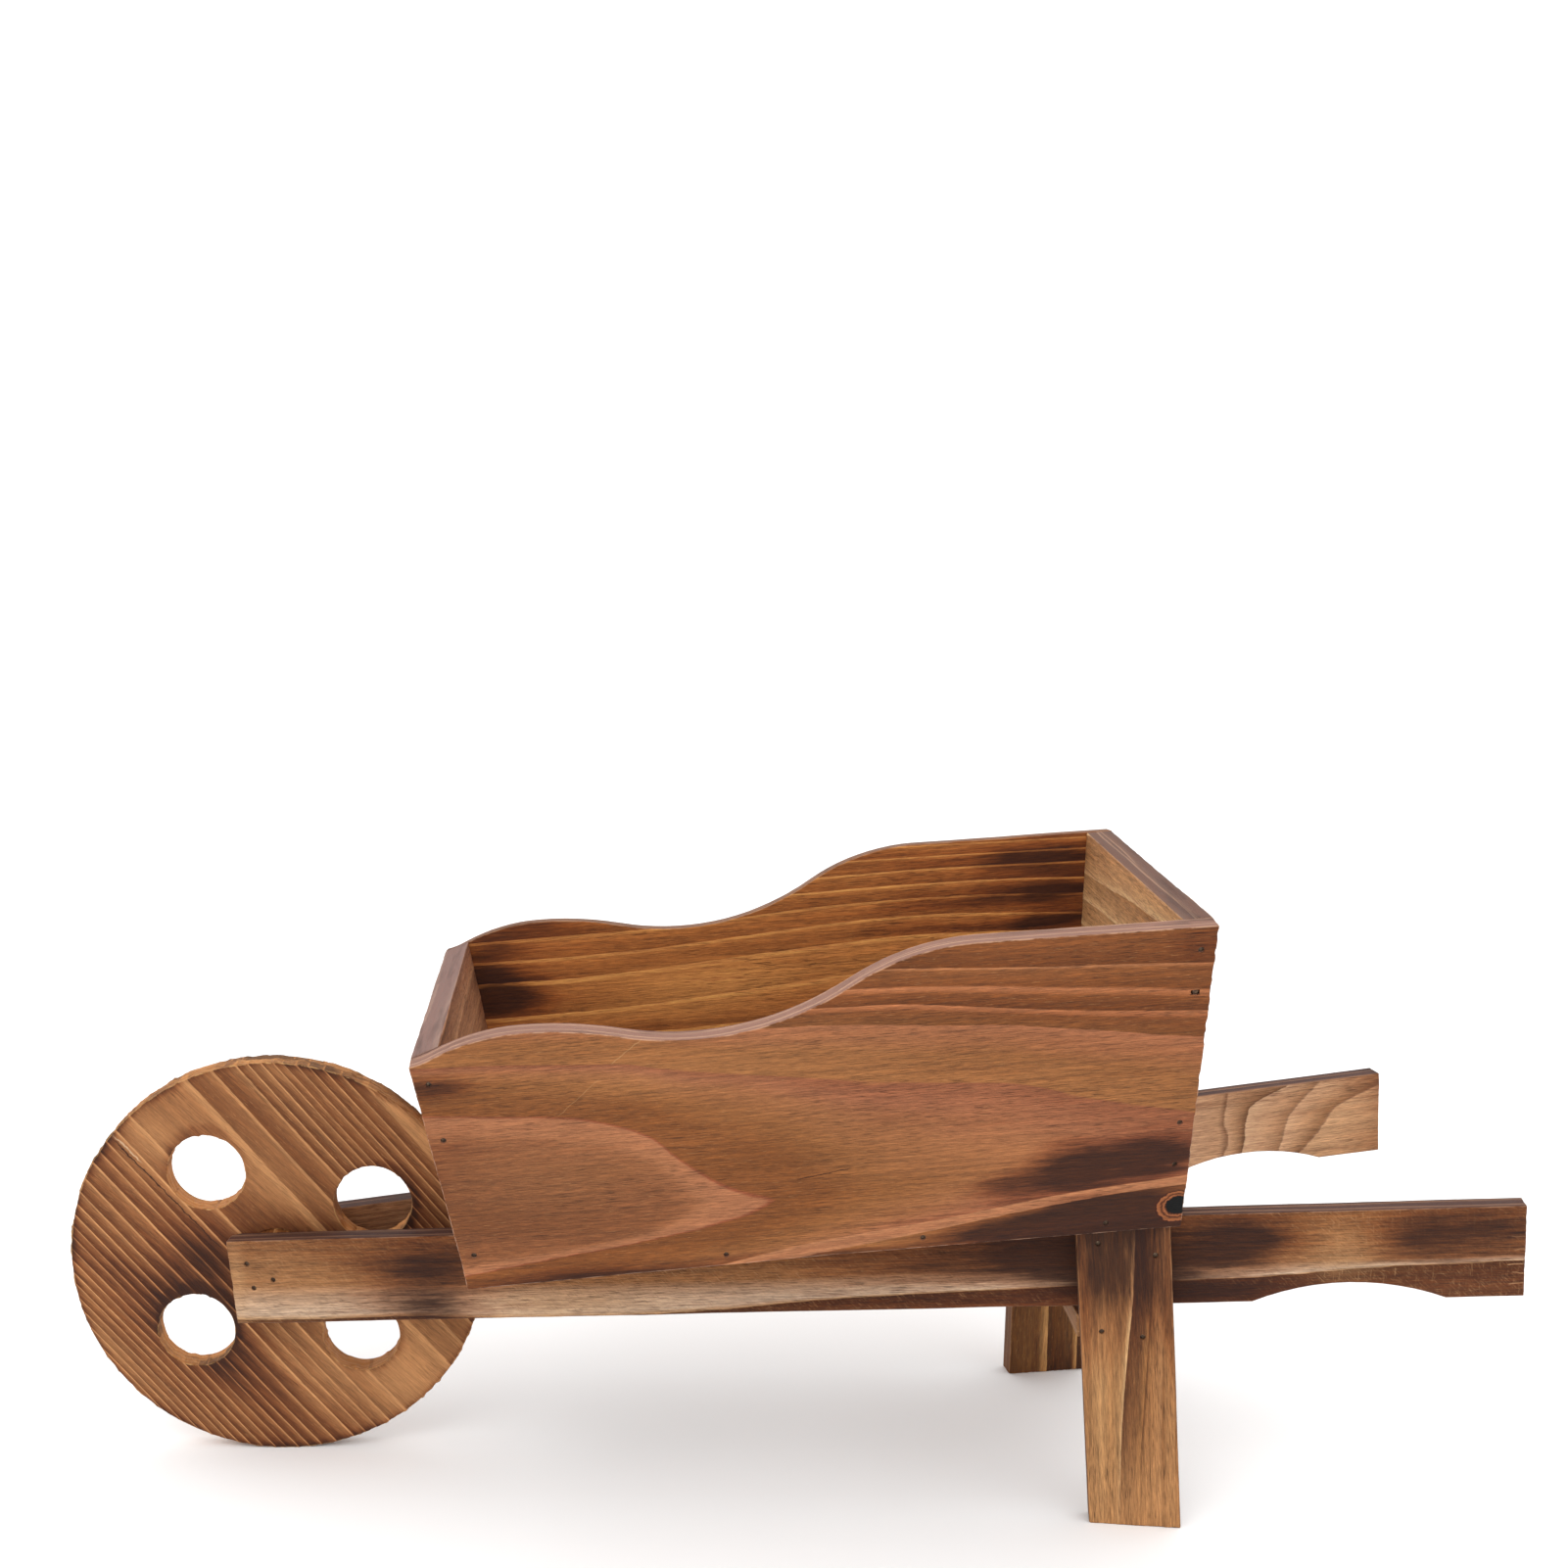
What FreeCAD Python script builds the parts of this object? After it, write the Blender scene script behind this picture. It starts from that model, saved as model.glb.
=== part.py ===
import FreeCAD, Part
import math
import os

import Sketcher
from FreeCAD import Placement, Rotation, Vector

# Wheelbarrow planter: a splayed board tub on two spreading rails, with two legs, a crossbar and a
# board wheel on a wooden axle. Millimetres.
#
# The cart is drawn in its own cart frame: X runs along the rails' middle line from the wheel to the
# handles, Y to the right-hand rail, Z up from the plane of the rails' top edges. X starts at the
# tub's front top edge. One last turn and shift stands the cart on its wheel and feet, with the
# origin under the middle of its box.

# Driving dimensions: one plain number per cell of the sheet
DIMENSIONS = {
    # tub
    "tub_length": 259.0,
    "front_rake": 10.0,
    "rear_rake": 11.0,
    "floor_width": 150.5,
    "side_lean_angle": 5.6,
    "side_thickness": 8.6,
    "end_thickness": 9.6,
    "floor_thickness": 8.6,
    "drain_hole_diameter": 22.0,
    # wavy top edge, its heights measured up the side board from its bottom edge
    "nose_height": 87.4,
    "nose_back": 36.6,
    "sweep_below_nose": 9.0,
    "sweep_low_ahead": 4.8,
    "dip_below_nose": 6.9,
    "dip_behind_nose": 55.8,
    "shoulder_above_dip": 24.8,
    "shoulder_behind_dip": 90.6,
    "rear_below_shoulder": 0.9,
    # rails
    "rail_front_ahead": 81.1,
    "handle_reach": 112.4,
    "rail_height": 32.0,
    "rail_thickness": 8.4,
    "rail_front_half_width": 14.5,
    "rail_spread_angle": 8.6,
    "rail_chamfer_length": 3.0,
    "rail_chamfer_width": 2.2,
    "grip_from_end": 25.0,
    "grip_length": 63.0,
    "grip_depth": 6.2,
    # wheel and axle
    "wheel_diameter": 150.0,
    "wheel_thickness": 10.0,
    "wheel_ahead": 65.2,
    "wheel_drop": 12.2,
    "wheel_hole_diameter": 28.0,
    "wheel_hole_circle_radius": 41.5,
    "axle_diameter": 24.0,
    "axle_clearance": 0.1,
    # legs and crossbar, ahead of the floor board's rear edge
    "leg_width": 30.8,
    "leg_thickness": 8.5,
    "leg_ahead_left": 32.4,
    "leg_ahead_right": 30.0,
    "leg_lean_left": 1.0,
    "leg_lean_right": -4.6,
    "foot_depth": 111.4,
    "foot_middle_ahead": 19.0,
    "crossbar_ahead": 32.6,
    "crossbar_width": 30.0,
    "crossbar_thickness": 8.5,
    "crossbar_drop": 35.0,
    # nails
    "nail_diameter": 1.8,
    "nail_length": 24.0,
    "short_nail_length": 14.5,
    "nail_set_depth": 1.1,
    "nail_clearance": 0.05,
    "nail_hole_spare": 0.4,
    # how far cuts run past what they cut
    "overrun": 5.0,
    "grip_overrun": 1.2,
}

# Places of the nails, as shares of the piece that they run into
FRONT_NAIL_HEIGHT_SHARES = (0.13, 0.66, 0.91)
REAR_NAIL_HEIGHT_SHARES = (0.22, 0.36, 0.785, 0.92)
FLOOR_NAIL_LENGTH_SHARES = (0.365, 0.64, 0.895)
END_NAIL_WIDTH_SHARES = (-0.3, 0.3)
RAIL_NAIL_LENGTH_SHARES = (0.12, 0.5, 0.92)
LEG_NAIL_WIDTH_SHARES = (0.19, 0.79)
LEG_NAIL_HEIGHT_SHARES = (0.19, 0.34)
CROSSBAR_NAIL_WIDTH_SHARES = (0.22, 0.67)
CROSSBAR_NAIL_HEIGHT_SHARES = (0.36, 0.64)
AXLE_NAIL_SHARES_LEFT = ((-0.78, 0.28), (-0.03, -0.25), (-0.66, -0.5))
AXLE_NAIL_SHARES_RIGHT = ((-0.36, -0.74), (0.15, -0.52), (-0.47, 0.08))
NAIL_FLOOR_HEIGHT_SHARE = 0.42
# The radii of the nose and of the dip, as shares of the distance between their arc's centre and
# that of the arc before
NOSE_RADIUS_SHARE = 0.7
DIP_RADIUS_SHARE = 0.43
# The four wheel holes were drilled by hand, unevenly round their circle (turns of the wheel)
WHEEL_HOLE_TURN_SHARES = (0.075, 0.336, 0.602, 0.862)

document = FreeCAD.newDocument("wheelbarrow_planter")
sheet = document.addObject("Spreadsheet::Sheet", "Dims")
derived_sheet = document.addObject("Spreadsheet::Sheet", "Places")
for row_number, (alias, value) in enumerate(DIMENSIONS.items(), start=1):
    sheet.set("A%d" % row_number, str(value))
    sheet.setAlias("A%d" % row_number, alias)
document.recompute()


def dim(alias):
    """The value of one driving dimension, read from the sheet."""
    return float(sheet.get(alias))


place_count = 0


def place(value):
    """Puts a worked-out place in the second sheet, and gives the expression that reads it."""
    global place_count
    place_count += 1
    cell = "A%d" % place_count
    alias = "place_%d" % place_count
    derived_sheet.set(cell, repr(float(value)))
    derived_sheet.setAlias(cell, alias)
    return "Places.%s" % alias


# Sizes that follow from the driving dimensions

overrun = dim("overrun")
side_lean = math.radians(dim("side_lean_angle"))
floor_half = dim("floor_width") / 2
tub_length = dim("tub_length")
floor_front = dim("front_rake")
floor_rear = tub_length - dim("rear_rake")
side_thickness = dim("side_thickness")
floor_thickness = dim("floor_thickness")
spread = math.radians(dim("rail_spread_angle"))
rail_front = -dim("rail_front_ahead")
rail_length = (floor_rear + dim("handle_reach") - rail_front) / math.cos(spread)
rail_thickness = dim("rail_thickness")
rail_front_half = dim("rail_front_half_width")
leg_thickness = dim("leg_thickness")
wheel_radius = dim("wheel_diameter") / 2
wheel_centre = Vector(-dim("wheel_ahead"), 0, -dim("wheel_drop"))


def wave_chain():
    """The tangent arcs of the wavy edge: sweep, nose, hump, dip and shoulder.

    Each is a (centre x, centre height, radius, bulges up) tuple. Two tangent arcs that bulge
    opposite ways have their centres the sum of their radii apart."""
    nose = (dim("nose_back"), dim("nose_height"))
    sweep = (-dim("sweep_low_ahead"), nose[1] - dim("sweep_below_nose"))
    dip = (nose[0] + dim("dip_behind_nose"), nose[1] - dim("dip_below_nose"))
    shoulder = (dip[0] + dim("shoulder_behind_dip"), dip[1] + dim("shoulder_above_dip"))

    def radius_sum(low, high):
        run = high[0] - low[0]
        rise = high[1] - low[1]
        return (run ** 2 + rise ** 2) / (2 * rise)

    front_sum = radius_sum(sweep, nose)
    hump_sum = radius_sum(nose, dip)
    rear_sum = radius_sum(dip, shoulder)
    nose_radius = front_sum * NOSE_RADIUS_SHARE
    sweep_radius = front_sum - nose_radius
    dip_radius = abs(hump_sum) * DIP_RADIUS_SHARE
    hump_radius = abs(hump_sum) - dip_radius
    shoulder_radius = rear_sum - dip_radius
    return [
        (sweep[0], sweep[1] + sweep_radius, sweep_radius, False),
        (nose[0], nose[1] - nose_radius, nose_radius, True),
        (nose[0], nose[1] - hump_radius, hump_radius, True),
        (dip[0], dip[1] + dip_radius, dip_radius, False),
        (shoulder[0], shoulder[1] - shoulder_radius, shoulder_radius, True),
    ]


wave = wave_chain()


def wave_height(arc, x):
    centre_x, centre_height, radius, bulges_up = arc
    drop = math.sqrt(radius ** 2 - (x - centre_x) ** 2)
    return centre_height + drop if bulges_up else centre_height - drop


def between(arc, other):
    """The x at which two tangent arcs that bulge opposite ways meet."""
    share = arc[2] / (arc[2] + other[2])
    return arc[0] + share * (other[0] - arc[0])


wave_joints = [
    0.0,
    between(wave[0], wave[1]),
    wave[1][0],
    between(wave[2], wave[3]),
    between(wave[3], wave[4]),
    wave[4][0],
]
front_height = wave_height(wave[0], 0.0)
rear_height = wave_height(wave[4], wave[4][0]) - dim("rear_below_shoulder")


def inner_half_width(height):
    """Half the tub's clear width between the side boards at a height above the rails."""
    return floor_half - side_thickness / math.cos(side_lean) + height * math.tan(side_lean)


def inner_edge_height(board_height):
    """Height above the rails of a side board's inner face, at a height along the board."""
    return board_height * math.cos(side_lean) + side_thickness * math.sin(side_lean)


def rail_face(x, inset):
    """Half the distance between the rails at x, measured at an inset from their outer faces."""
    return rail_front_half + (x - rail_front) * math.tan(spread) - inset / math.cos(spread)


# The floor line that touches the wheel and passes under the feet, in the cart frame
foot_middle = Vector(floor_rear - dim("foot_middle_ahead"), 0, -dim("foot_depth"))
wheel_to_foot = foot_middle - wheel_centre
tilt = -math.atan2(wheel_to_foot.z, wheel_to_foot.x) - math.asin(wheel_radius / wheel_to_foot.Length)
rail_end_x = (
    rail_front
    + rail_length * math.cos(spread)
    + rail_thickness * math.sin(spread)
)
cart_rear = rail_end_x * math.cos(tilt) + dim("rail_height") * math.sin(tilt)
wheel_x = wheel_centre.x * math.cos(tilt) - wheel_centre.z * math.sin(tilt)
wheel_z = wheel_centre.x * math.sin(tilt) + wheel_centre.z * math.cos(tilt)
middle_x = (wheel_x - wheel_radius + cart_rear) / 2
floor_z = wheel_z - wheel_radius
stand = Placement(Vector(-middle_x, 0, -floor_z), Rotation(Vector(0, 1, 0), -math.degrees(tilt)))

parts = {}


def keep(name, feature):
    """Names a finished piece, which is then written out as its own file."""
    feature.Label = name
    parts[name] = feature


# Sketch and feature helpers


def new_body(name, local):
    body = document.addObject("PartDesign::Body", name)
    body.Placement = stand.multiply(local)
    return body


def plane_of(body, role):
    return next(item for item in body.Origin.OriginFeatures if item.Role == role)


def new_sketch(body, name, role):
    sketch = body.newObject("Sketcher::SketchObject", name)
    sketch.AttachmentSupport = [(plane_of(body, role), "")]
    sketch.MapMode = "FlatFace"
    return sketch


def pin_point(sketch, edge, end, point):
    """Ties one end of an edge to two cells of the places sheet."""
    for kind, value in (("DistanceX", point[0]), ("DistanceY", point[1])):
        number = sketch.addConstraint(Sketcher.Constraint(kind, -1, 1, edge, end, float(value)))
        sketch.setExpression("Constraints[%d]" % number, place(value))


def draw_outline(sketch, steps):
    """Draws a closed outline. Each step is (point, bend), where bend is None for a straight run
    to the next point, or (centre, turns_left) for an arc to it."""
    count = len(steps)
    for number, (point, bend) in enumerate(steps):
        following = steps[(number + 1) % count][0]
        start = Vector(point[0], point[1], 0)
        end = Vector(following[0], following[1], 0)
        if bend is None:
            sketch.addGeometry(Part.LineSegment(start, end), False)
            continue
        centre = Vector(bend[0][0], bend[0][1], 0)
        circle = Part.Circle(centre, Vector(0, 0, 1), (start - centre).Length)
        first, last = (start, end) if bend[1] else (end, start)
        sketch.addGeometry(
            Part.ArcOfCircle(circle, circle.parameter(first), circle.parameter(last)), False
        )

    def ends(number):
        bend = steps[number][1]
        return (1, 2) if bend is None or bend[1] else (2, 1)

    for number in range(count):
        following = (number + 1) % count
        sketch.addConstraint(
            Sketcher.Constraint("Coincident", number, ends(number)[1], following, ends(following)[0])
        )
    for number, (point, bend) in enumerate(steps):
        pin_point(sketch, number, ends(number)[0], point)
        if bend is not None:
            radius = math.dist(point, bend[0])
            tie = sketch.addConstraint(Sketcher.Constraint("Radius", number, radius))
            sketch.setExpression("Constraints[%d]" % tie, place(radius))


def draw_polygon(sketch, points):
    draw_outline(sketch, [(point, None) for point in points])


def draw_circles(sketch, centres, radius):
    for number, centre in enumerate(centres):
        middle = Vector(centre[0], centre[1], 0)
        sketch.addGeometry(Part.Circle(middle, Vector(0, 0, 1), radius), False)
        pin_point(sketch, number, 3, centre)
        tie = sketch.addConstraint(Sketcher.Constraint("Radius", number, radius))
        sketch.setExpression("Constraints[%d]" % tie, place(radius))


def add_pad(body, sketch, length, both_ways=False, backwards=False):
    pad = body.newObject("PartDesign::Pad", sketch.Name + "_pad")
    pad.Profile = sketch
    pad.Midplane = both_ways
    pad.Reversed = backwards
    pad.setExpression("Length", length)
    return pad


def add_pocket(body, sketch):
    """Cuts right through the body, both ways from the sketch."""
    document.recompute()
    before = body.Shape.Volume
    pocket = body.newObject("PartDesign::Pocket", sketch.Name + "_pocket")
    pocket.Profile = sketch
    pocket.Midplane = True
    pocket.Type = "ThroughAll"
    document.recompute()
    if not 0 < body.Shape.Volume < before:
        raise RuntimeError("%s cuts nothing" % pocket.Name)
    return pocket


def trim_to_tub(body, low, high):
    """Cuts a body off at the side boards' inner faces, between two heights."""
    wide = inner_half_width(high) + 2 * overrun
    for hand in (-1, 1):
        sketch = new_sketch(body, "%s_trim_%s" % (body.Name, HAND_NAMES[hand]), "YZ_Plane")
        draw_polygon(sketch, [
            (hand * inner_half_width(low - overrun), low - overrun),
            (hand * wide, low - overrun),
            (hand * wide, high + overrun),
            (hand * inner_half_width(high + overrun), high + overrun),
        ])
        add_pocket(body, sketch)


HAND_NAMES = {-1: "left", 1: "right"}


# Nails: each joint's nails are one group of separate solids, and their holes are cut in the
# boards that they pass through

nail_cutters = {}


def cylinder(name, radius, length, start, direction):
    """A round bar from a start point along a direction, both in the cart frame."""
    bar = document.addObject("Part::Cylinder", name)
    bar.setExpression("Radius", radius)
    bar.setExpression("Height", length)
    turn = Rotation(Vector(0, 0, 1), direction)
    bar.Placement = stand.multiply(Placement(start, turn))
    return bar


def add_nails(name, heads, direction, boards, length="nail_length"):
    """Nails driven from points on a surface along a direction, through the boards named."""
    along = Vector(direction).normalize()
    set_in = along * dim("nail_set_depth")
    back_off = along * dim("overrun")
    nails = []
    cutters = []
    for number, head in enumerate(heads):
        nails.append(cylinder(
            "%s_%d" % (name, number), "Dims.nail_diameter / 2", "Dims." + length,
            head + set_in, along,
        ))
        cutters.append(cylinder(
            "%s_hole_%d" % (name, number), "Dims.nail_diameter / 2 + Dims.nail_clearance",
            "Dims.overrun + Dims.nail_set_depth + Dims.nail_hole_spare + Dims." + length,
            head - back_off, along,
        ))
    group = document.addObject("Part::Compound", name)
    group.Links = nails
    keep(name, group)
    for board in boards:
        nail_cutters.setdefault(board, []).extend(cutters)


def drilled(name, base):
    """The board with its nail holes."""
    holes = document.addObject("Part::Compound", name + "_nail_holes")
    holes.Links = nail_cutters[name]
    cut = document.addObject("Part::Cut", name + "_drilled")
    cut.Base = base
    cut.Tool = holes
    keep(name, cut)


# Side boards


def side_frame(hand):
    """Local X along the tub, local Y up the board, the inner face at local Z zero."""
    corner = Vector(
        0,
        hand * (floor_half - side_thickness * math.cos(side_lean)),
        side_thickness * math.sin(side_lean),
    )
    return Placement(corner, Rotation(Vector(1, 0, 0), 90 - hand * math.degrees(side_lean)))


def side_outline():
    steps = [
        ((floor_front, 0.0), None),
        ((floor_rear, 0.0), None),
        ((tub_length, rear_height), None),
    ]
    for arc, start, end in reversed(list(zip(wave, wave_joints, wave_joints[1:]))):
        centre = (arc[0], arc[1])
        steps.append(((end, wave_height(arc, end)), (centre, arc[3])))
        last = (start, wave_height(arc, start))
    steps.append((last, None))
    return steps


def side_board(hand):
    name = "side_board_" + HAND_NAMES[hand]
    body = new_body(name + "_body", side_frame(hand))
    sketch = new_sketch(body, name + "_outline", "XY_Plane")
    draw_outline(sketch, side_outline())
    add_pad(body, sketch, "Dims.side_thickness", backwards=hand > 0)
    return body


# End boards and floor board


def raked_profile(foot_x, top_x, low, high, thickness, into_tub):
    """Cross-section of a leaning end board that stands on the floor board.

    foot_x and top_x are its outer face at rail height and at the height named high."""
    lean = math.atan2(abs(top_x - foot_x), high)
    deep = into_tub * thickness / math.cos(lean)

    def outer(height):
        return foot_x + (top_x - foot_x) * height / high

    return [
        (outer(low), low),
        (outer(low) + deep, low),
        (top_x + deep, high),
        (top_x, high),
    ]


def board_across(name, profile, low, high):
    """A board right across the tub, from its cross-section, trimmed to the side boards."""
    body = new_body(name + "_body", Placement())
    sketch = new_sketch(body, name + "_section", "XZ_Plane")
    draw_polygon(sketch, profile)
    add_pad(body, sketch, place(2 * (inner_half_width(high) + overrun)), both_ways=True)
    trim_to_tub(body, low, high)
    return body


front_top = inner_edge_height(front_height)
rear_top = inner_edge_height(rear_height)
front_profile = raked_profile(
    floor_front, 0.0, floor_thickness, front_top, dim("end_thickness"), 1
)
# The front board's top slopes up with the side boards' wavy edge
front_inner_top = inner_edge_height(wave_height(wave[0], front_profile[2][0]))
front_profile[2] = (
    front_profile[2][0] - floor_front * (front_inner_top - front_top) / front_top,
    front_inner_top,
)
rear_profile = raked_profile(
    floor_rear, tub_length, floor_thickness, rear_top, dim("end_thickness"), -1
)
floor_profile = [
    (floor_front, 0.0),
    (floor_rear, 0.0),
    (rear_profile[0][0], floor_thickness),
    (front_profile[0][0], floor_thickness),
]


def floor_board():
    body = board_across("floor_board", floor_profile, 0.0, floor_thickness)
    sketch = new_sketch(body, "floor_board_drain", "XY_Plane")
    draw_circles(sketch, [(tub_length / 2, 0.0)], dim("drain_hole_diameter") / 2)
    add_pocket(body, sketch)
    return body


# Rails


def rail_frame(hand):
    """Local X along the rail from its front end, the outer face at local Y zero."""
    start = Vector(rail_front, hand * rail_front_half, 0)
    return Placement(start, Rotation(Vector(0, 0, 1), hand * math.degrees(spread)))


def along_rail(x):
    """Distance along the rail's outer face to x in the cart frame."""
    return (x - rail_front) / math.cos(spread)


def grip_profile():
    """The arched cut in the rail's underside: a bow and its chord, run past the edge."""
    half = dim("grip_length") / 2
    depth = dim("grip_depth")
    edge = -dim("rail_height")
    middle = rail_length - dim("grip_from_end") - half
    low = edge - dim("grip_overrun")
    radius = (half ** 2 + depth ** 2) / (2 * depth)
    centre = (middle, edge + depth - radius)
    reach = math.sqrt(radius ** 2 - (low - centre[1]) ** 2)
    return [
        ((middle - reach, low), None),
        ((middle + reach, low), (centre, True)),
    ]


def rail(hand):
    name = "rail_" + HAND_NAMES[hand]
    body = new_body(name + "_body", rail_frame(hand))
    plan = new_sketch(body, name + "_plan", "XY_Plane")
    inner = -hand * rail_thickness
    draw_polygon(plan, [
        (0.0, 0.0),
        (rail_length, 0.0),
        (rail_length, inner),
        (dim("rail_chamfer_length"), inner),
        (0.0, inner + hand * dim("rail_chamfer_width")),
    ])
    add_pad(body, plan, "Dims.rail_height", backwards=True)
    grip = new_sketch(body, name + "_grip", "XZ_Plane")
    draw_outline(grip, grip_profile())
    add_pocket(body, grip)
    return body


# Legs and crossbar


def leg_front_x(hand, depth):
    """The leg's front edge in the cart frame at a depth under the rails' top."""
    ahead = dim("leg_ahead_left") if hand < 0 else dim("leg_ahead_right")
    lean = dim("leg_lean_left") if hand < 0 else dim("leg_lean_right")
    return floor_rear - ahead + depth * math.tan(math.radians(lean))


def leg_spot(hand, width_share, depth):
    """A point on the leg's outer face."""
    x = leg_front_x(hand, depth) + width_share * dim("leg_width")
    y = hand * rail_face(x, -leg_thickness)
    return Vector(x, y, -depth)


def floor_block():
    """A block whose top is the floor that the feet are cut to."""
    block = document.addObject("Part::Box", "floor_block")
    span = tub_length
    block.setExpression("Length", place(span))
    block.setExpression("Width", place(span))
    block.setExpression("Height", place(dim("foot_depth")))
    block.Placement = Placement(
        Vector(foot_middle.x * math.cos(tilt) - middle_x - span / 2, -span / 2, -dim("foot_depth")),
        Rotation(),
    )
    return block


def leg(hand, ground):
    name = "leg_" + HAND_NAMES[hand]
    body = new_body(name + "_body", rail_frame(hand))
    sketch = new_sketch(body, name + "_side", "XZ_Plane")
    deep = dim("foot_depth") + 2 * overrun
    top = along_rail(leg_front_x(hand, 0.0))
    bottom = along_rail(leg_front_x(hand, deep))
    wide = dim("leg_width") / math.cos(spread)
    draw_polygon(sketch, [
        (top, 0.0),
        (bottom, -deep),
        (bottom + wide, -deep),
        (top + wide, 0.0),
    ])
    # The sketch's plane faces local minus Y, so the left leg is the plain pad
    add_pad(body, sketch, "Dims.leg_thickness", backwards=hand > 0)
    foot = document.addObject("Part::Cut", name + "_foot")
    foot.Base = body
    foot.Tool = ground
    return foot


def crossbar():
    body = new_body("leg_crossbar_body", Placement(Vector(0, 0, -dim("crossbar_drop")), Rotation()))
    sketch = new_sketch(body, "leg_crossbar_plan", "XY_Plane")
    front = floor_rear - dim("crossbar_ahead")
    rear = front + dim("crossbar_width")
    draw_polygon(sketch, [
        (front, -rail_face(front, 0.0)),
        (rear, -rail_face(rear, 0.0)),
        (rear, rail_face(rear, 0.0)),
        (front, rail_face(front, 0.0)),
    ])
    add_pad(body, sketch, "Dims.crossbar_thickness", backwards=True)
    return body


# Wheel and axle


def wheel():
    body = new_body("wheel_body", Placement(wheel_centre, Rotation()))
    disc = new_sketch(body, "wheel_disc", "XZ_Plane")
    draw_circles(disc, [(0.0, 0.0)], wheel_radius)
    add_pad(body, disc, "Dims.wheel_thickness", both_ways=True)
    bore = new_sketch(body, "wheel_bore", "XZ_Plane")
    draw_circles(bore, [(0.0, 0.0)], dim("axle_diameter") / 2 + dim("axle_clearance"))
    add_pocket(body, bore)
    circle = dim("wheel_hole_circle_radius")
    centres = []
    for share in WHEEL_HOLE_TURN_SHARES:
        angle = 2 * math.pi * share
        centres.append((circle * math.cos(angle), circle * math.sin(angle)))
    holes = new_sketch(body, "wheel_holes", "XZ_Plane")
    draw_circles(holes, centres, dim("wheel_hole_diameter") / 2)
    add_pocket(body, holes)
    keep("wheel", body)


def axle():
    """A dowel whose ends are cut to lie against the rails' inner faces."""
    radius = dim("axle_diameter") / 2
    reach = radius + overrun
    front = wheel_centre.x - reach
    rear = wheel_centre.x + reach
    body = new_body("axle_wedge", Placement(Vector(0, 0, wheel_centre.z), Rotation()))
    sketch = new_sketch(body, "axle_plan", "XY_Plane")
    draw_polygon(sketch, [
        (front, -rail_face(front, rail_thickness)),
        (rear, -rail_face(rear, rail_thickness)),
        (rear, rail_face(rear, rail_thickness)),
        (front, rail_face(front, rail_thickness)),
    ])
    add_pad(body, sketch, place(2 * reach), both_ways=True)
    long = rail_face(rear, 0.0)
    dowel = cylinder(
        "axle_dowel", "Dims.axle_diameter / 2", place(2 * long),
        wheel_centre - Vector(0, long, 0), Vector(0, 1, 0),
    )
    shared = document.addObject("Part::Common", "axle_shared")
    shared.Base = body
    shared.Tool = dowel
    return shared


# Where the nails go


def end_nail_x(profile, height):
    """The middle of an end board's thickness at a height."""
    outer_low, inner_low, inner_top, outer_top = profile
    rise = (height - outer_low[1]) / (outer_top[1] - outer_low[1])
    outer = outer_low[0] + rise * (outer_top[0] - outer_low[0])
    return outer + (inner_low[0] - outer_low[0]) / 2


def side_face_point(hand, x, height):
    """A point on a side board's outer face at a height."""
    return Vector(x, hand * (floor_half + height * math.tan(side_lean)), height)


def nails_for_side(hand):
    side = HAND_NAMES[hand]
    board = "side_board_" + side
    inward = Vector(0, -hand * math.cos(side_lean), math.sin(side_lean))

    def end_heads(profile, shares):
        heads = []
        for share in shares:
            height = share * profile[3][1]
            heads.append(side_face_point(hand, end_nail_x(profile, height), height))
        return heads

    add_nails(
        "nails_side_%s_front" % side, end_heads(front_profile, FRONT_NAIL_HEIGHT_SHARES),
        inward, [board, "front_board"],
    )
    add_nails(
        "nails_side_%s_rear" % side, end_heads(rear_profile, REAR_NAIL_HEIGHT_SHARES),
        inward, [board, "rear_board"],
    )
    height = NAIL_FLOOR_HEIGHT_SHARE * floor_thickness
    floor_heads = []
    for share in FLOOR_NAIL_LENGTH_SHARES:
        x = floor_front + share * (floor_rear - floor_front)
        floor_heads.append(side_face_point(hand, x, height))
    add_nails("nails_side_%s_floor" % side, floor_heads, inward, [board, "floor_board"])


def nails_for_ends():
    for name, profile in (("front", front_profile), ("rear", rear_profile)):
        heads = []
        for share in END_NAIL_WIDTH_SHARES:
            heads.append(Vector(end_nail_x(profile, 0.0), share * 2 * inner_half_width(0.0), 0))
        foot = Vector(profile[0][0], 0, profile[0][1])
        top = Vector(profile[3][0], 0, profile[3][1])
        add_nails(
            "nails_floor_%s" % name, heads, top - foot, ["floor_board", "%s_board" % name],
        )


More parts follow.
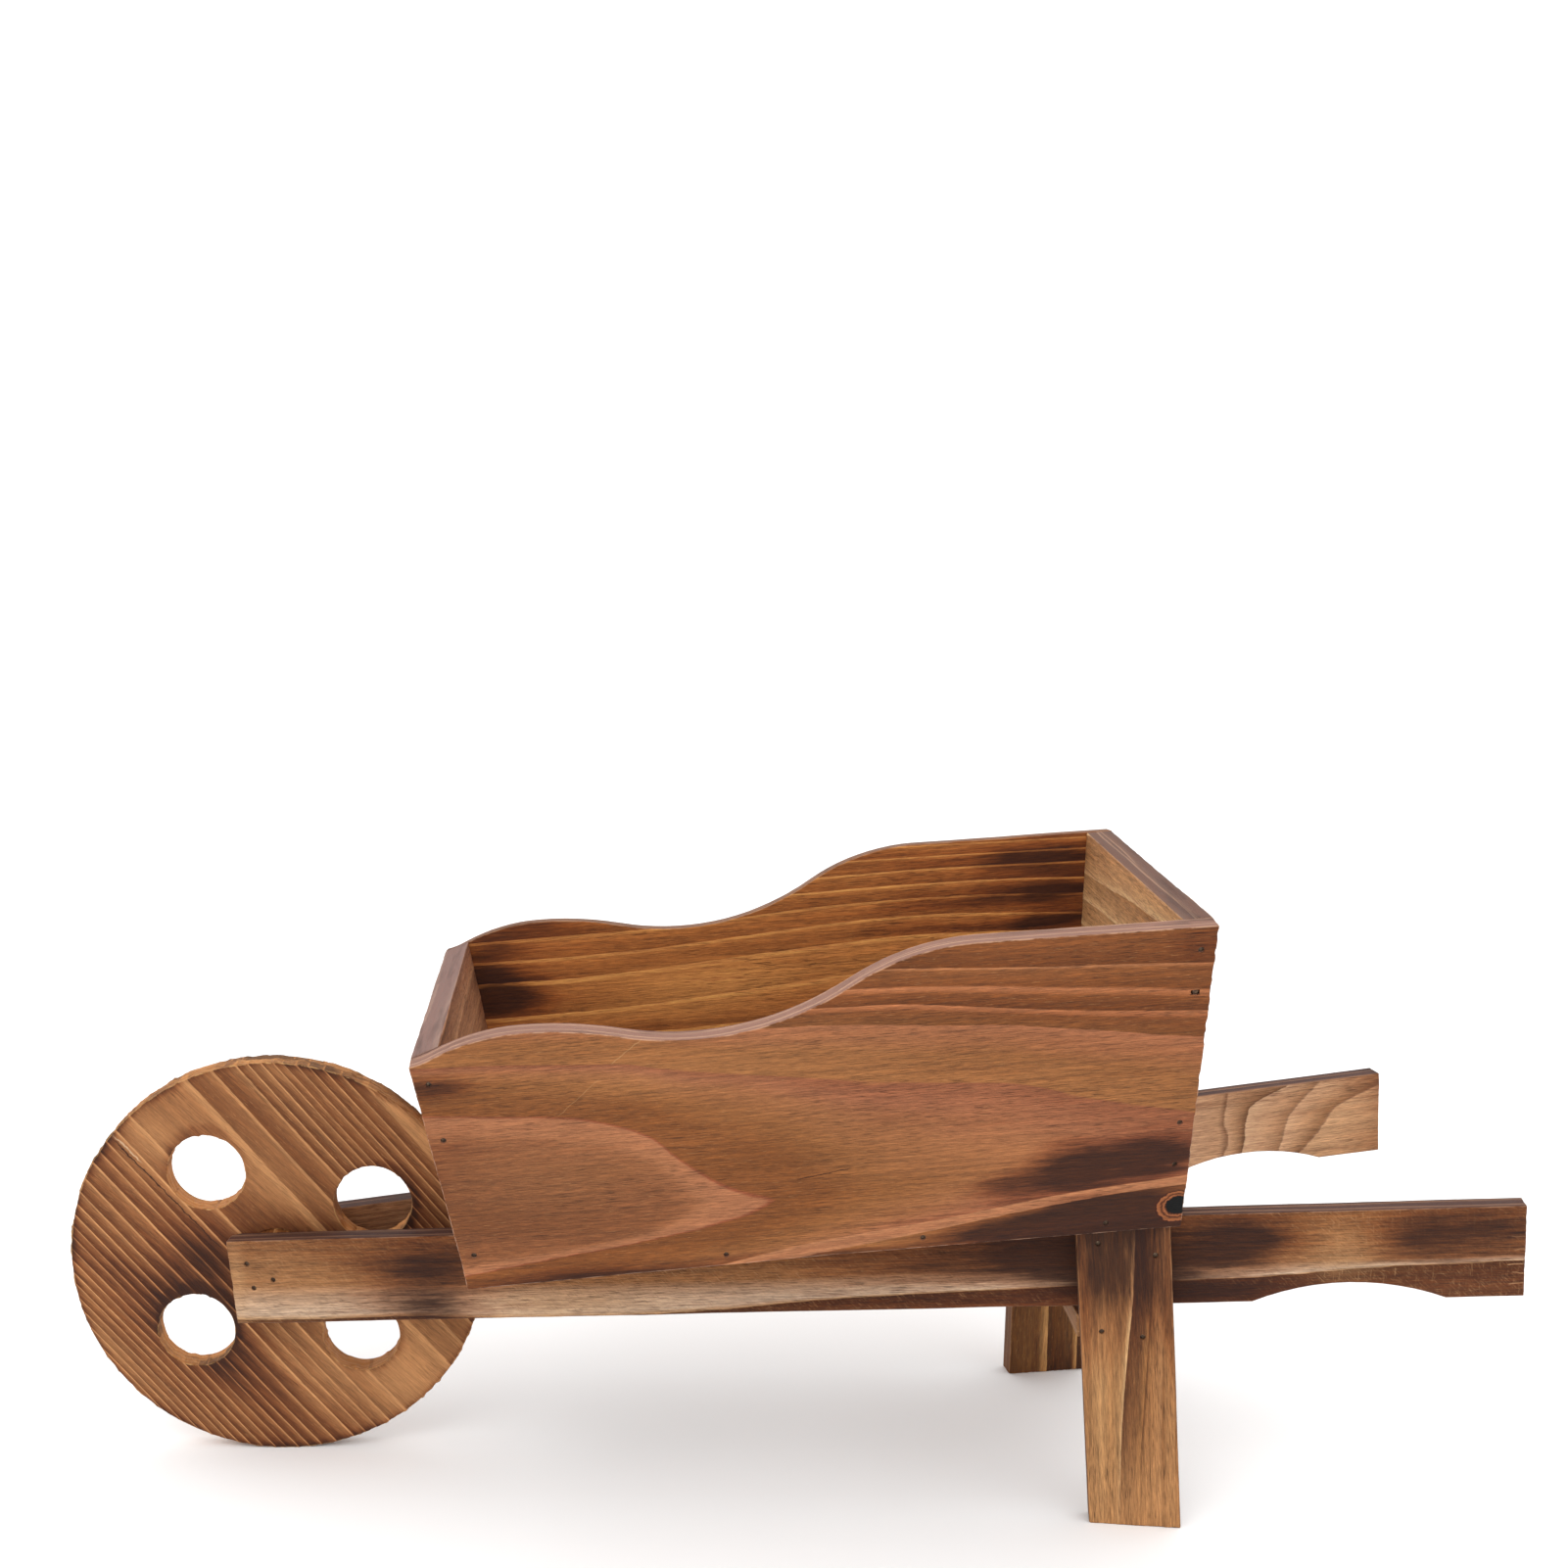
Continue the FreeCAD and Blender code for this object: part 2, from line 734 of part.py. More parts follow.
def nails_for_rail(hand):
    side = HAND_NAMES[hand]
    clear_front = front_profile[1][0]
    leg_front = min(leg_front_x(-1, 0.0), leg_front_x(1, 0.0))
    heads = []
    for share in RAIL_NAIL_LENGTH_SHARES:
        x = clear_front + share * (leg_front - clear_front)
        heads.append(Vector(x, hand * rail_face(x, rail_thickness / 2), floor_thickness))
    add_nails("nails_floor_rail_%s" % side, heads, Vector(0, 0, -1), ["floor_board", "rail_" + side])
    inward = Vector(math.sin(spread), -hand * math.cos(spread), 0)
    shares = AXLE_NAIL_SHARES_LEFT if hand < 0 else AXLE_NAIL_SHARES_RIGHT
    radius = dim("axle_diameter") / 2
    axle_heads = []
    for along, up in shares:
        x = wheel_centre.x + along * radius
        axle_heads.append(Vector(x, hand * rail_face(x, 0.0), wheel_centre.z + up * radius))
    add_nails(
        "nails_rail_%s_axle" % side, axle_heads, inward, ["rail_" + side, "axle"],
        length="short_nail_length",
    )
    leg_heads = []
    for width_share, height_share in zip(LEG_NAIL_WIDTH_SHARES, LEG_NAIL_HEIGHT_SHARES):
        leg_heads.append(leg_spot(hand, width_share, height_share * dim("rail_height")))
    add_nails(
        "nails_leg_%s_rail" % side, leg_heads, inward, ["leg_" + side, "rail_" + side],
        length="short_nail_length",
    )
    bar_heads = []
    for width_share, height_share in zip(CROSSBAR_NAIL_WIDTH_SHARES, CROSSBAR_NAIL_HEIGHT_SHARES):
        depth = dim("crossbar_drop") + height_share * dim("crossbar_thickness")
        x = floor_rear - dim("crossbar_ahead") + width_share * dim("crossbar_width")
        bar_heads.append(Vector(x, hand * rail_face(x, -leg_thickness), -depth))
    add_nails(
        "nails_leg_%s_crossbar" % side, bar_heads, inward, ["leg_" + side, "leg_crossbar"],
    )


# The whole cart

for hand in (-1, 1):
    nails_for_side(hand)
    nails_for_rail(hand)
nails_for_ends()
for hand in (-1, 1):
    drilled("side_board_" + HAND_NAMES[hand], side_board(hand))
drilled("front_board", board_across("front_board", front_profile, floor_thickness, front_inner_top))
drilled("rear_board", board_across("rear_board", rear_profile, floor_thickness, rear_top))
drilled("floor_board", floor_board())
ground_block = floor_block()
for hand in (-1, 1):
    drilled("rail_" + HAND_NAMES[hand], rail(hand))
    drilled("leg_" + HAND_NAMES[hand], leg(hand, ground_block))
drilled("leg_crossbar", crossbar())
wheel()
drilled("axle", axle())

document.recompute()

for item in document.Objects:
    if "Invalid" in item.State or "Error" in item.State:
        raise RuntimeError("%s failed: %s" % (item.Name, item.State))
for name, item in parts.items():
    if item.Shape.isNull() or not item.Shape.isValid() or not item.Shape.Solids:
        raise RuntimeError("%s has no valid shape" % name)

os.makedirs("parts", exist_ok=True)
for name, item in parts.items():
    item.Shape.exportStep("parts/%s.step" % name)
print("%d pieces, tilt %.2f degrees" % (len(parts), math.degrees(tilt)))
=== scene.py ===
import math

import bmesh
import bpy
import numpy as np
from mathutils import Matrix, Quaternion, Vector
from mathutils.kdtree import KDTree


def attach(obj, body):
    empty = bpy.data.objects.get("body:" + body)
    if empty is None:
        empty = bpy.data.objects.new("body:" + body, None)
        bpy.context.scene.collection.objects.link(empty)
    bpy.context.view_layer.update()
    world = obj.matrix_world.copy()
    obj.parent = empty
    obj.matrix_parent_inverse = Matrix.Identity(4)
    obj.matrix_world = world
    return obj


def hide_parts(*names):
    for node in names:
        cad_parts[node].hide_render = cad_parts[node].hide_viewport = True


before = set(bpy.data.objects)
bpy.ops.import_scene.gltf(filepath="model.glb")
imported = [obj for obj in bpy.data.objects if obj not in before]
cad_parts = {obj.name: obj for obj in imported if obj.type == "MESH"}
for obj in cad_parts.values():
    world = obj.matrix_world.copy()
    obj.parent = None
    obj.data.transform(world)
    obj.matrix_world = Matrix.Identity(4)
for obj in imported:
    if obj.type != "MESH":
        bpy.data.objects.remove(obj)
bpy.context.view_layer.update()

MM = 0.001
# what the studio light does to a paint value: it brightens it, and adds a little glare
GAIN = 0.80
GLARE = 0.014
# how far a board's face is worked, in mm: raised rings, waviness, chips off its arrises
RELIEF = 0.10
WARP = 0.10
CHIP = 0.22
# edges shorter than this keep their sharp arris, in mm
SHORTEST_WORN = 0.8
ROUGHNESS = 0.68


# ---------------------------------------------------------------- numbers
def smooth(a, b, x):
    """0 below a, 1 above b, eased between."""
    t = np.clip((x - a) / (b - a), 0.0, 1.0)
    return t * t * (3 - 2 * t)


def hashed(ix, iy, iz, seed):
    """A fixed pseudo-random number from -1 to 1 for each whole-number point."""
    h = ix * 374761393 + iy * 668265263 + iz * 1442695041 + seed * 1274126177
    h &= 0xFFFFFFFF
    h = ((h ^ (h >> 13)) * 1274126177) & 0xFFFFFFFF
    h ^= h >> 16
    return h / 0x7FFFFFFF - 1.0


def noise(x, y, z, seed=0):
    """Smooth noise from -1 to 1 at each point, features about one unit wide."""
    fx, fy, fz = np.floor(x), np.floor(y), np.floor(z)
    tx, ty, tz = x - fx, y - fy, z - fz
    ix, iy, iz = fx.astype(np.int64), fy.astype(np.int64), fz.astype(np.int64)
    tx, ty, tz = (t * t * (3 - 2 * t) for t in (tx, ty, tz))
    total = 0.0
    for dx in (0, 1):
        for dy in (0, 1):
            for dz in (0, 1):
                share = (tx if dx else 1 - tx) * (ty if dy else 1 - ty) * (tz if dz else 1 - tz)
                total = total + share * hashed(ix + dx, iy + dy, iz + dz, seed)
    return total


def linear(r, g, b):
    """A colour as it looks under the studio light, 0 to 255, as the paint value that gives it."""
    out = []
    for c in (r, g, b):
        c /= 255.0
        c = c / 12.92 if c <= 0.04045 else ((c + 0.055) / 1.055) ** 2.4
        out.append(max(c - GLARE, 0.002) * GAIN)
    return (*out, 1.0)


# ---------------------------------------------------------------- growth rings
def curve(points):
    """A line across the board: the points' v at any u, eased between the points."""
    us = np.array([p[0] for p in points], float)
    vs = np.array([p[1] for p in points], float)
    slopes = np.gradient(vs, us)

    def at(u):
        i = np.clip(np.searchsorted(us, u) - 1, 0, len(us) - 2)
        h = us[i + 1] - us[i]
        t = (u - us[i]) / h
        inside = np.clip(t, 0, 1)
        t2, t3 = inside ** 2, inside ** 3
        value = ((2 * t3 - 3 * t2 + 1) * vs[i] + (t3 - 2 * t2 + inside) * h * slopes[i]
                 + (-2 * t3 + 3 * t2) * vs[i + 1] + (t3 - t2) * h * slopes[i + 1])
        low = np.minimum(u - us[0], 0) * slopes[0]
        high = np.maximum(u - us[-1], 0) * slopes[-1]
        return value + low + high

    return at


def family(lines, u, v):
    """Ring number at each point, from lines in order of v, each (number, points)."""
    order = [(number, curve(points)(u)) for number, points in lines]
    place = np.stack([p for _, p in order])
    number = np.array([n for n, _ in order], float)
    first = (number[1] - number[0]) / np.maximum(place[1] - place[0], 0.3)
    out = number[0] + (v - place[0]) * first
    for i in range(len(order) - 1):
        gap = np.maximum(place[i + 1] - place[i], 0.3)
        step = number[i] + (v - place[i]) / gap * (number[i + 1] - number[i])
        out = np.where(v >= place[i], step, out)
    return out


# ---------------------------------------------------------------- meshes
def table_of(items, field):
    """Three numbers for each vertex or face of a mesh."""
    values = np.zeros(len(items) * 3)
    items.foreach_get(field, values)
    return values.reshape(-1, 3)


def local_axes(node, normal, grain, across):
    """The piece's own directions, taken from its CAD faces: along the grain, across it, and
    out of its face."""
    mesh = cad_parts[node].data
    normals = table_of(mesh.polygons, "normal")
    areas = np.zeros(len(mesh.polygons))
    mesh.polygons.foreach_get("area", areas)
    near = normals @ np.array(normal, float) > 0.97
    n = (normals[near] * areas[near, None]).sum(0)
    n /= np.linalg.norm(n)
    u = np.array(grain, float)
    u -= (u @ n) * n
    u /= np.linalg.norm(u)
    v = np.cross(n, u)
    if v @ np.array(across, float) < 0:
        v = -v
    return u, v, n


def cut_up(node, axes, steps, bevel):
    """The CAD piece's own shape in mm, its sharp edges rounded off and its faces cut into a fine
    grid along the grain."""
    bm = bmesh.new()
    bm.from_mesh(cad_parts[node].data)
    bmesh.ops.scale(bm, vec=(1000, 1000, 1000), verts=bm.verts)  # to mm
    bmesh.ops.remove_doubles(bm, verts=bm.verts, dist=0.002)
    bmesh.ops.dissolve_limit(bm, angle_limit=math.radians(0.6), verts=bm.verts, edges=bm.edges)
    bmesh.ops.dissolve_degenerate(bm, dist=0.002, edges=bm.edges)
    rounded = bm.verts.layers.float.new("arris")
    if bevel:
        sharp = []
        for e in bm.edges:
            if len(e.link_faces) == 2 and e.is_convex and e.calc_length() > SHORTEST_WORN:
                if e.calc_face_angle() > math.radians(28):
                    sharp.append(e)
        made = bmesh.ops.bevel(bm, geom=sharp, offset=bevel, offset_type="OFFSET", segments=2,
                               profile=0.55, affect="EDGES", clamp_overlap=True)
        strip = set(made["faces"])
        for v in made["verts"]:
            if all(f in strip for f in v.link_faces):
                v[rounded] = 1.0
    for axis, step in zip(axes, steps):
        if not step:
            continue
        spots = np.array([v.co[:] for v in bm.verts]) @ axis
        low, high = spots.min(), spots.max()
        count = max(1, int(round((high - low) / step)))
        for i in range(1, count):
            at = low + (high - low) * i / count
            bmesh.ops.bisect_plane(bm, geom=bm.verts[:] + bm.edges[:] + bm.faces[:], dist=0.004,
                                   plane_co=Vector(axis) * at, plane_no=Vector(axis))
    bmesh.ops.recalc_face_normals(bm, faces=bm.faces)
    return bm


def new_object(name, data):
    made = bpy.data.objects.new(name, data)
    bpy.context.scene.collection.objects.link(made)
    return made


def mesh_object(name, bm):
    """The worked mesh becomes an object in the scene."""
    mesh = bpy.data.meshes.new(name)
    bm.to_mesh(mesh)
    bm.free()
    return new_object(name, mesh)


def store(mesh, name, values):
    """Keeps one number, or three, at each vertex for the material to read."""
    kind = "FLOAT_VECTOR" if values.ndim == 2 else "FLOAT"
    a = mesh.attributes.new(name, kind, "POINT")
    key = "vector" if values.ndim == 2 else "value"
    a.data.foreach_set(key, values.astype(np.float32).ravel())


# ---------------------------------------------------------------- materials
class Graph:
    """Short forms for building a node material."""

    def __init__(self, name):
        self.material = bpy.data.materials.new(name)
        self.material.use_nodes = True
        self.tree = self.material.node_tree
        self.tree.nodes.clear()

    def node(self, kind, **settings):
        n = self.tree.nodes.new(kind)
        for key, value in settings.items():
            setattr(n, key, value)
        return n

    def put(self, socket, value):
        if isinstance(value, bpy.types.NodeSocket):
            self.tree.links.new(value, socket)
        else:
            socket.default_value = value

    def math(self, operation, a, b=0.0, c=0.0):
        n = self.node("ShaderNodeMath", operation=operation)
        for socket, value in zip(n.inputs, (a, b, c)):
            self.put(socket, value)
        return n.outputs[0]

    def attribute(self, name, vector=False):
        n = self.node("ShaderNodeAttribute", attribute_type="GEOMETRY", attribute_name=name)
        return n.outputs["Vector" if vector else "Fac"]

    def scaled(self, vector, scale, offset=(0, 0, 0), turn=(0, 0, 0)):
        n = self.node("ShaderNodeMapping")
        self.put(n.inputs["Vector"], vector)
        n.inputs["Scale"].default_value = scale
        n.inputs["Location"].default_value = offset
        n.inputs["Rotation"].default_value = turn
        return n.outputs[0]

    def noise(self, vector, scale=1.0, detail=3.0, rough=0.55):
        n = self.node("ShaderNodeTexNoise", noise_dimensions="3D")
        self.put(n.inputs["Vector"], vector)
        n.inputs["Scale"].default_value = scale
        n.inputs["Detail"].default_value = detail
        n.inputs["Roughness"].default_value = rough
        return n.outputs["Fac"]

    def ramp(self, fac, stops):
        n = self.node("ShaderNodeValToRGB")
        elements = n.color_ramp.elements
        while len(elements) > 1:
            elements.remove(elements[-1])
        for i, (place, colour) in enumerate(stops):
            e = elements[0] if i == 0 else elements.new(place)
            e.position = place
            e.color = colour
        self.put(n.inputs["Fac"], fac)
        return n.outputs["Color"]

    def mix(self, fac, a, b, kind="MIX"):
        n = self.node("ShaderNodeMix", data_type="RGBA", blend_type=kind)
        n.clamp_factor = True
        self.put(n.inputs["Factor"], fac)
        self.put(n.inputs[6], a)
        self.put(n.inputs[7], b)
        return n.outputs[2]

    def range(self, value, low, high, to_low=0.0, to_high=1.0, kind="SMOOTHSTEP"):
        n = self.node("ShaderNodeMapRange", interpolation_type=kind)
        n.clamp = True
        for socket, v in zip(n.inputs, (value, low, high, to_low, to_high)):
            self.put(socket, v)
        return n.outputs[0]

    def finished(self, shader):
        out = self.node("ShaderNodeOutputMaterial")
        self.put(out.inputs[0], shader.outputs[0])
        return self.material


def lighter(colour, share):
    """The same colour, brighter or darker by the share."""
    return (*(min(c * share, 1.0) for c in colour[:3]), 1.0)


def grey(value):
    return (value, value, value, 1.0)


def greys(rows):
    return [(place, grey(value)) for place, value in rows]


def tone_rows(rows):
    """Colours by ring number, from rows of (number, red, green, blue)."""
    return [(number, linear(*colour)) for number, *colour in rows]


# colours as they look, 0 to 255
DARK = (96, 58, 33)
BASE = (160, 100, 56)
LIGHT = (205, 150, 100)
CHAR = (44, 26, 17)
EDGE = (128, 98, 84)
EDGE_LIGHT = (196, 158, 130)
TOAST = (0.60, 0.45, 0.38, 1.0)
TOAST_LIGHT = linear(96, 60, 43)
KNOT_TONES = tone_rows([(0.205, 70, 42, 30), (0.225, 172, 106, 70), (0.25, 122, 72, 47),
                        (0.262, 62, 37, 27), (0.28, 150, 92, 60), (0.315, 166, 102, 66),
                        (0.332, 60, 36, 26), (0.37, 92, 54, 38)])
# how pale a growth line is from one ring number, 0, to the next, 1
PLAIN_LINE = ((0.0, 1.0), (0.05, 0.9), (0.12, 0.45), (0.30, 0.16), (0.6, 0.0), (0.982, 0.0),
              (1.0, 0.6))


def wood(name, seed, dark=DARK, base=BASE, light=LIGHT, char=CHAR, tones=None, tone_span=1.0,
         waver=0.10, fray=0.035, profile=PLAIN_LINE, contrast=(0.25, 1.0), cloud=0.5, dusky=0.75,
         cross=0.0, cross_from=-999.0, scratch=0.0, edge=EDGE, edge_light=EDGE_LIGHT,
         edge_lines=0.22, fibre=1.0, pore=0.6, heart=(20, 14, 12), marks=(), band=None):
    """Torched and brushed board. The vertices give the ring number, the place along and across
    the grain, how burnt it is, and whether it is face or edge; everything finer is made here.
    With tones the rings take their colours from a table, without it from dark, base and light.
    Colours are given as they look, 0 to 255."""
    dark, base, light, char, heart, edge, edge_light = (
        linear(*c) for c in (dark, base, light, char, heart, edge, edge_light))
    g = Graph(name)
    ring = g.attribute("ring")
    place = g.attribute("grain", vector=True)
    burnt = g.attribute("burnt")
    side = g.attribute("side")
    honey = g.attribute("honey")
    shift = (seed * 7.31, seed * 3.17, seed * 5.03)
    parts = g.node("ShaderNodeSeparateXYZ")
    g.put(parts.inputs[0], place)
    # the rings waver slowly along the grain and their borders fray into fibres
    slow = g.noise(g.scaled(place, (0.022, 0.11, 0.11), shift), detail=2.0)
    fine = g.noise(g.scaled(place, (0.12, 1.6, 1.6), shift), detail=4.0, rough=0.65)
    fine_part = g.math("SUBTRACT", fine, 0.5)
    moved = g.math("MULTIPLY_ADD", g.math("SUBTRACT", slow, 0.5), waver * 2, ring)
    moved = g.math("MULTIPLY_ADD", fine_part, fray * 2, moved)
    number = g.math("FLOOR", moved)
    part = g.math("FRACT", moved)
    own = g.node("ShaderNodeTexWhiteNoise", noise_dimensions="1D")
    g.put(own.inputs["W"], g.math("ADD", number, seed * 11.7 + 0.5))
    lot = g.range(own.outputs["Value"], 0.0, 1.0, contrast[0], contrast[1], "LINEAR")
    line = g.math("MULTIPLY", g.ramp(part, greys(profile)), lot)
    dusk = g.ramp(part, greys([(0.0, 0.0), (0.35, 0.2), (0.8, 0.75), (0.982, 1.0), (1.0, 0.4)]))
    dusk = g.math("MULTIPLY", dusk, g.math("MULTIPLY", lot, dusky))
    # slow clouds of tone along the board
    cloudy = g.noise(g.scaled(place, (0.012, 0.06, 0.06), (seed, 2.0, 5.0)), detail=4.0, rough=0.62)
    cloudy = g.range(cloudy, 0.34, 0.66, 0.0, 1.0)
    if tones:
        colour = g.ramp(g.math("DIVIDE", moved, tone_span), [(p / tone_span, c) for p, c in tones])
        colour = g.mix(g.math("MULTIPLY", cloudy, 0.6 * cloud), colour, dark)
    else:
        colour = g.mix(g.math("MULTIPLY", cloudy, cloud), base, dark)
        colour = g.mix(g.math("MULTIPLY", dusk, 0.8), colour, dark)
        colour = g.mix(line, colour, light)
    colour = g.mix(g.range(honey, 0.0, 1.0, 0.0, 0.9, "LINEAR"), colour, light)
    if band:
        place_in = g.math("MULTIPLY_ADD", fine_part, 0.22, g.attribute("band"))
        inside = g.math("MULTIPLY", g.range(place_in, -0.06, 0.06, 0.0, 1.0),
                        g.range(place_in, 0.93, 1.08, 1.0, 0.0))
        colour = g.mix(g.math("MULTIPLY", inside, 0.92), colour, g.ramp(place_in, band))
    # fibres: long streaks, fine hairs, short dark pores; and short pale dashes, which are painted
    # glints on the fibres
    streak = g.noise(g.scaled(place, (0.016, 0.75, 0.75), shift), detail=4.0, rough=0.68)
    hair = g.noise(g.scaled(place, (0.17, 2.7, 2.7), shift), detail=5.0, rough=0.80)
    hairs = g.math("ADD", g.math("MULTIPLY", streak, 0.36), g.math("MULTIPLY", hair, 0.64))
    hairs = g.range(hairs, 0.38, 0.62, 0.0, 1.0, "LINEAR")
    colour = g.mix(0.54 * fibre, colour,
                   g.ramp(hairs, greys([(0.0, 0.06), (0.5, 0.47), (1.0, 0.94)])), "OVERLAY")
    zone = g.noise(g.scaled(place, (0.015, 0.05, 0.05), (4.0, seed, 7.0)), detail=2.0)
    zone = g.range(zone, 0.36, 0.62, 0.35, 1.0)
    pores = g.noise(g.scaled(place, (0.13, 3.2, 3.2), (seed * 1.7, 0.0, 9.0)), detail=1.5, rough=0.6)
    pores = g.math("MULTIPLY", g.range(pores, 0.575, 0.66, 0.0, pore * fibre), zone)
    colour = g.mix(pores, colour, char)
    # short pale dashes along the grain: painted glints where fibres catch the light
    glint_dashes = g.noise(g.scaled(place, (0.20, 3.0, 3.0), (9.0, seed * 2.3, 1.0), (0, 0, 0.05)),
                     detail=2.0, rough=0.7)
    glint_dashes = g.range(glint_dashes, 0.60, 0.70, 0.0, 0.34)
    colour = g.mix(glint_dashes, colour, light)
    if cross:
        cuts = g.noise(g.scaled(place, (1.3, 0.14, 0.14), (seed, 1.0, 3.0), (0, 0, -0.2)),
                       detail=3.0, rough=0.7)
        cuts = g.range(cuts, 0.56, 0.72, 0.0, cross)
        cuts = g.math("MULTIPLY", cuts,
                      g.range(parts.outputs[0], cross_from, cross_from + 12.0, 0.0, 1.0))
        colour = g.mix(cuts, colour, light)
    if scratch:
        slant = g.noise(g.scaled(g.scaled(place, (1, 1, 1), (0, 0, 0), (0, 0, 0.8)),
                                 (0.26, 2.8, 1.0), (seed, 4.0, 3.0)),
                        detail=3.0, rough=0.75)
        colour = g.mix(g.range(slant, 0.55, 0.68, 0.0, scratch), colour, light)
        colour = g.mix(g.range(slant, 0.45, 0.32, 0.0, scratch), colour, dark)
    for u1, v1, u2, v2, width, tint, strength in marks:
        # a single thin stroke from one point to the other
        length = math.hypot(u2 - u1, v2 - v1)
        turn = math.atan2(v2 - v1, u2 - u1)
        c, s = math.cos(turn), math.sin(turn)
        origin = (-(c * u1 + s * v1), -(-s * u1 + c * v1), 0.0)
        local = g.node("ShaderNodeSeparateXYZ")
        g.put(local.inputs[0], g.scaled(place, (1, 1, 1), origin, (0, 0, -turn)))
        wob = g.noise(g.scaled(place, (0.35, 0.35, 0.0), (u1, v1, 0.0)), detail=2.0)
        off = g.math("ABSOLUTE",
                     g.math("ADD", local.outputs[1],
                            g.math("MULTIPLY", g.math("SUBTRACT", wob, 0.5), width * 4)))
        near = g.range(off, 0.0, width, 1.0, 0.0)
        near = g.math("MULTIPLY", near, g.range(local.outputs[0], 0.0, length * 0.15, 0.0, 1.0))
        near = g.math("MULTIPLY", near, g.range(local.outputs[0], length * 0.8, length, 1.0, 0.0))
        colour = g.mix(g.math("MULTIPLY", near, strength), colour, linear(*tint))
    # torch marks: first a darker brown, then char, streaky along the grain
    patchy = g.noise(g.scaled(place, (0.035, 0.45, 0.45), (2.0, seed, 4.0)), detail=5.0, rough=0.72)
    patchy = g.math("SUBTRACT", patchy, 0.5)
    soot = g.math("MULTIPLY_ADD", patchy, 1.15, burnt)
    if not tones:
        soot = g.math("SUBTRACT", soot, g.math("MULTIPLY", line, 0.40))
    if band:
        soot = g.math("SUBTRACT", soot, g.math("MULTIPLY", inside, 0.55))
    toast = g.range(soot, 0.0, 0.62, 0.0, 1.0)
    colour = g.mix(g.math("MULTIPLY", toast, 0.85), colour, TOAST, "MULTIPLY")
    soot = g.range(soot, 0.36, 1.0, 0.0, 0.90)
    colour = g.mix(soot, colour, g.mix(g.math("MULTIPLY", hairs, 0.5), char, TOAST_LIGHT))
    # knots: a dark heart in rings
    uneven = g.noise(g.scaled(place, (0.5, 0.5, 0.5), (seed, 0.0, 1.0)), detail=3.0)
    knot = g.math("MULTIPLY_ADD", g.math("SUBTRACT", uneven, 0.5), 0.3, g.attribute("knot"))
    inner = g.ramp(g.math("DIVIDE", knot, 3.0),
                   [(0.0, lighter(heart, 1.4)), (0.19, heart)] + KNOT_TONES)
    inner = g.mix(0.5, inner, g.ramp(hairs, greys([(0.0, 0.15), (1.0, 0.85)])), "OVERLAY")
    colour = g.mix(g.range(knot, 0.98, 1.15, 1.0, 0.0), colour, inner)
    # edges of the board: greyer, with thin pale growth lines
    bend = g.noise(g.scaled(place, (0.008, 0.05, 0.12), (seed * 4.1, 0.0, 2.0)), detail=2.0,
                   rough=0.6)
    growth = g.math("ADD", g.math("MULTIPLY", parts.outputs[2], edge_lines),
                    g.math("MULTIPLY", parts.outputs[1], 0.02))
    growth = g.math("ADD", growth, g.math("MULTIPLY_ADD", bend, 1.1, seed * 0.37))
    growth = g.math("MULTIPLY_ADD", fine_part, 0.10, growth)
    growth = g.ramp(g.math("FRACT", growth),
                    greys([(0.0, 0.9), (0.10, 0.75), (0.20, 0.15), (0.5, 0.0), (0.96, 0.0),
                           (1.0, 0.6)]))
    edge_tone = g.mix(g.math("MULTIPLY", growth, 0.8), edge, edge_light)
    edge_tone = g.mix(0.26, edge_tone, g.ramp(hairs, greys([(0.0, 0.12), (1.0, 0.82)])), "OVERLAY")
    smudge = g.noise(g.scaled(place, (0.022, 0.2, 0.2), (6.0, 2.0, seed)), detail=3.0, rough=0.6)
    edge_tone = g.mix(g.range(smudge, 0.48, 0.70, 0.0, 0.5), edge_tone, g.mix(0.35, char, edge))
    edge_tone = g.mix(g.math("MULTIPLY", soot, 0.8), edge_tone, char)
    colour = g.mix(g.range(side, 0.25, 0.8, 0.0, 1.0), colour, edge_tone)
    # pale arrises: a painted highlight along the rounded edges, patchy like rubbed wear
    arris_highlight_and_wear = g.attribute("arris_highlight_and_wear")
    rub = g.noise(g.scaled(place, (0.10, 0.4, 0.4), (1.0, 1.0, seed)), detail=4.0, rough=0.7)
    pale = g.math("MULTIPLY", arris_highlight_and_wear, g.range(rub, 0.42, 0.58, 0.0, 0.8))
    colour = g.mix(pale, colour, edge_light)
    shader = g.node("ShaderNodeBsdfPrincipled")
    g.put(shader.inputs["Base Color"], colour)
    g.put(shader.inputs["Roughness"], g.range(hairs, 0.0, 1.0, ROUGHNESS - 0.08, ROUGHNESS + 0.14,
                                              "LINEAR"))
    shader.inputs["Specular IOR Level"].default_value = 0.22
    height = g.math("ADD", g.math("MULTIPLY", line, 0.0 if tones else 0.4),
                    g.math("MULTIPLY", hairs, 0.6))
    height = g.math("SUBTRACT", height, g.math("MULTIPLY", pores, 1.2))
    bump = g.node("ShaderNodeBump")
    bump.inputs["Strength"].default_value = 0.6
    bump.inputs["Distance"].default_value = 0.0004
    g.put(bump.inputs["Height"], height)
    g.put(shader.inputs["Normal"], bump.outputs[0])
    return g.finished(shader)


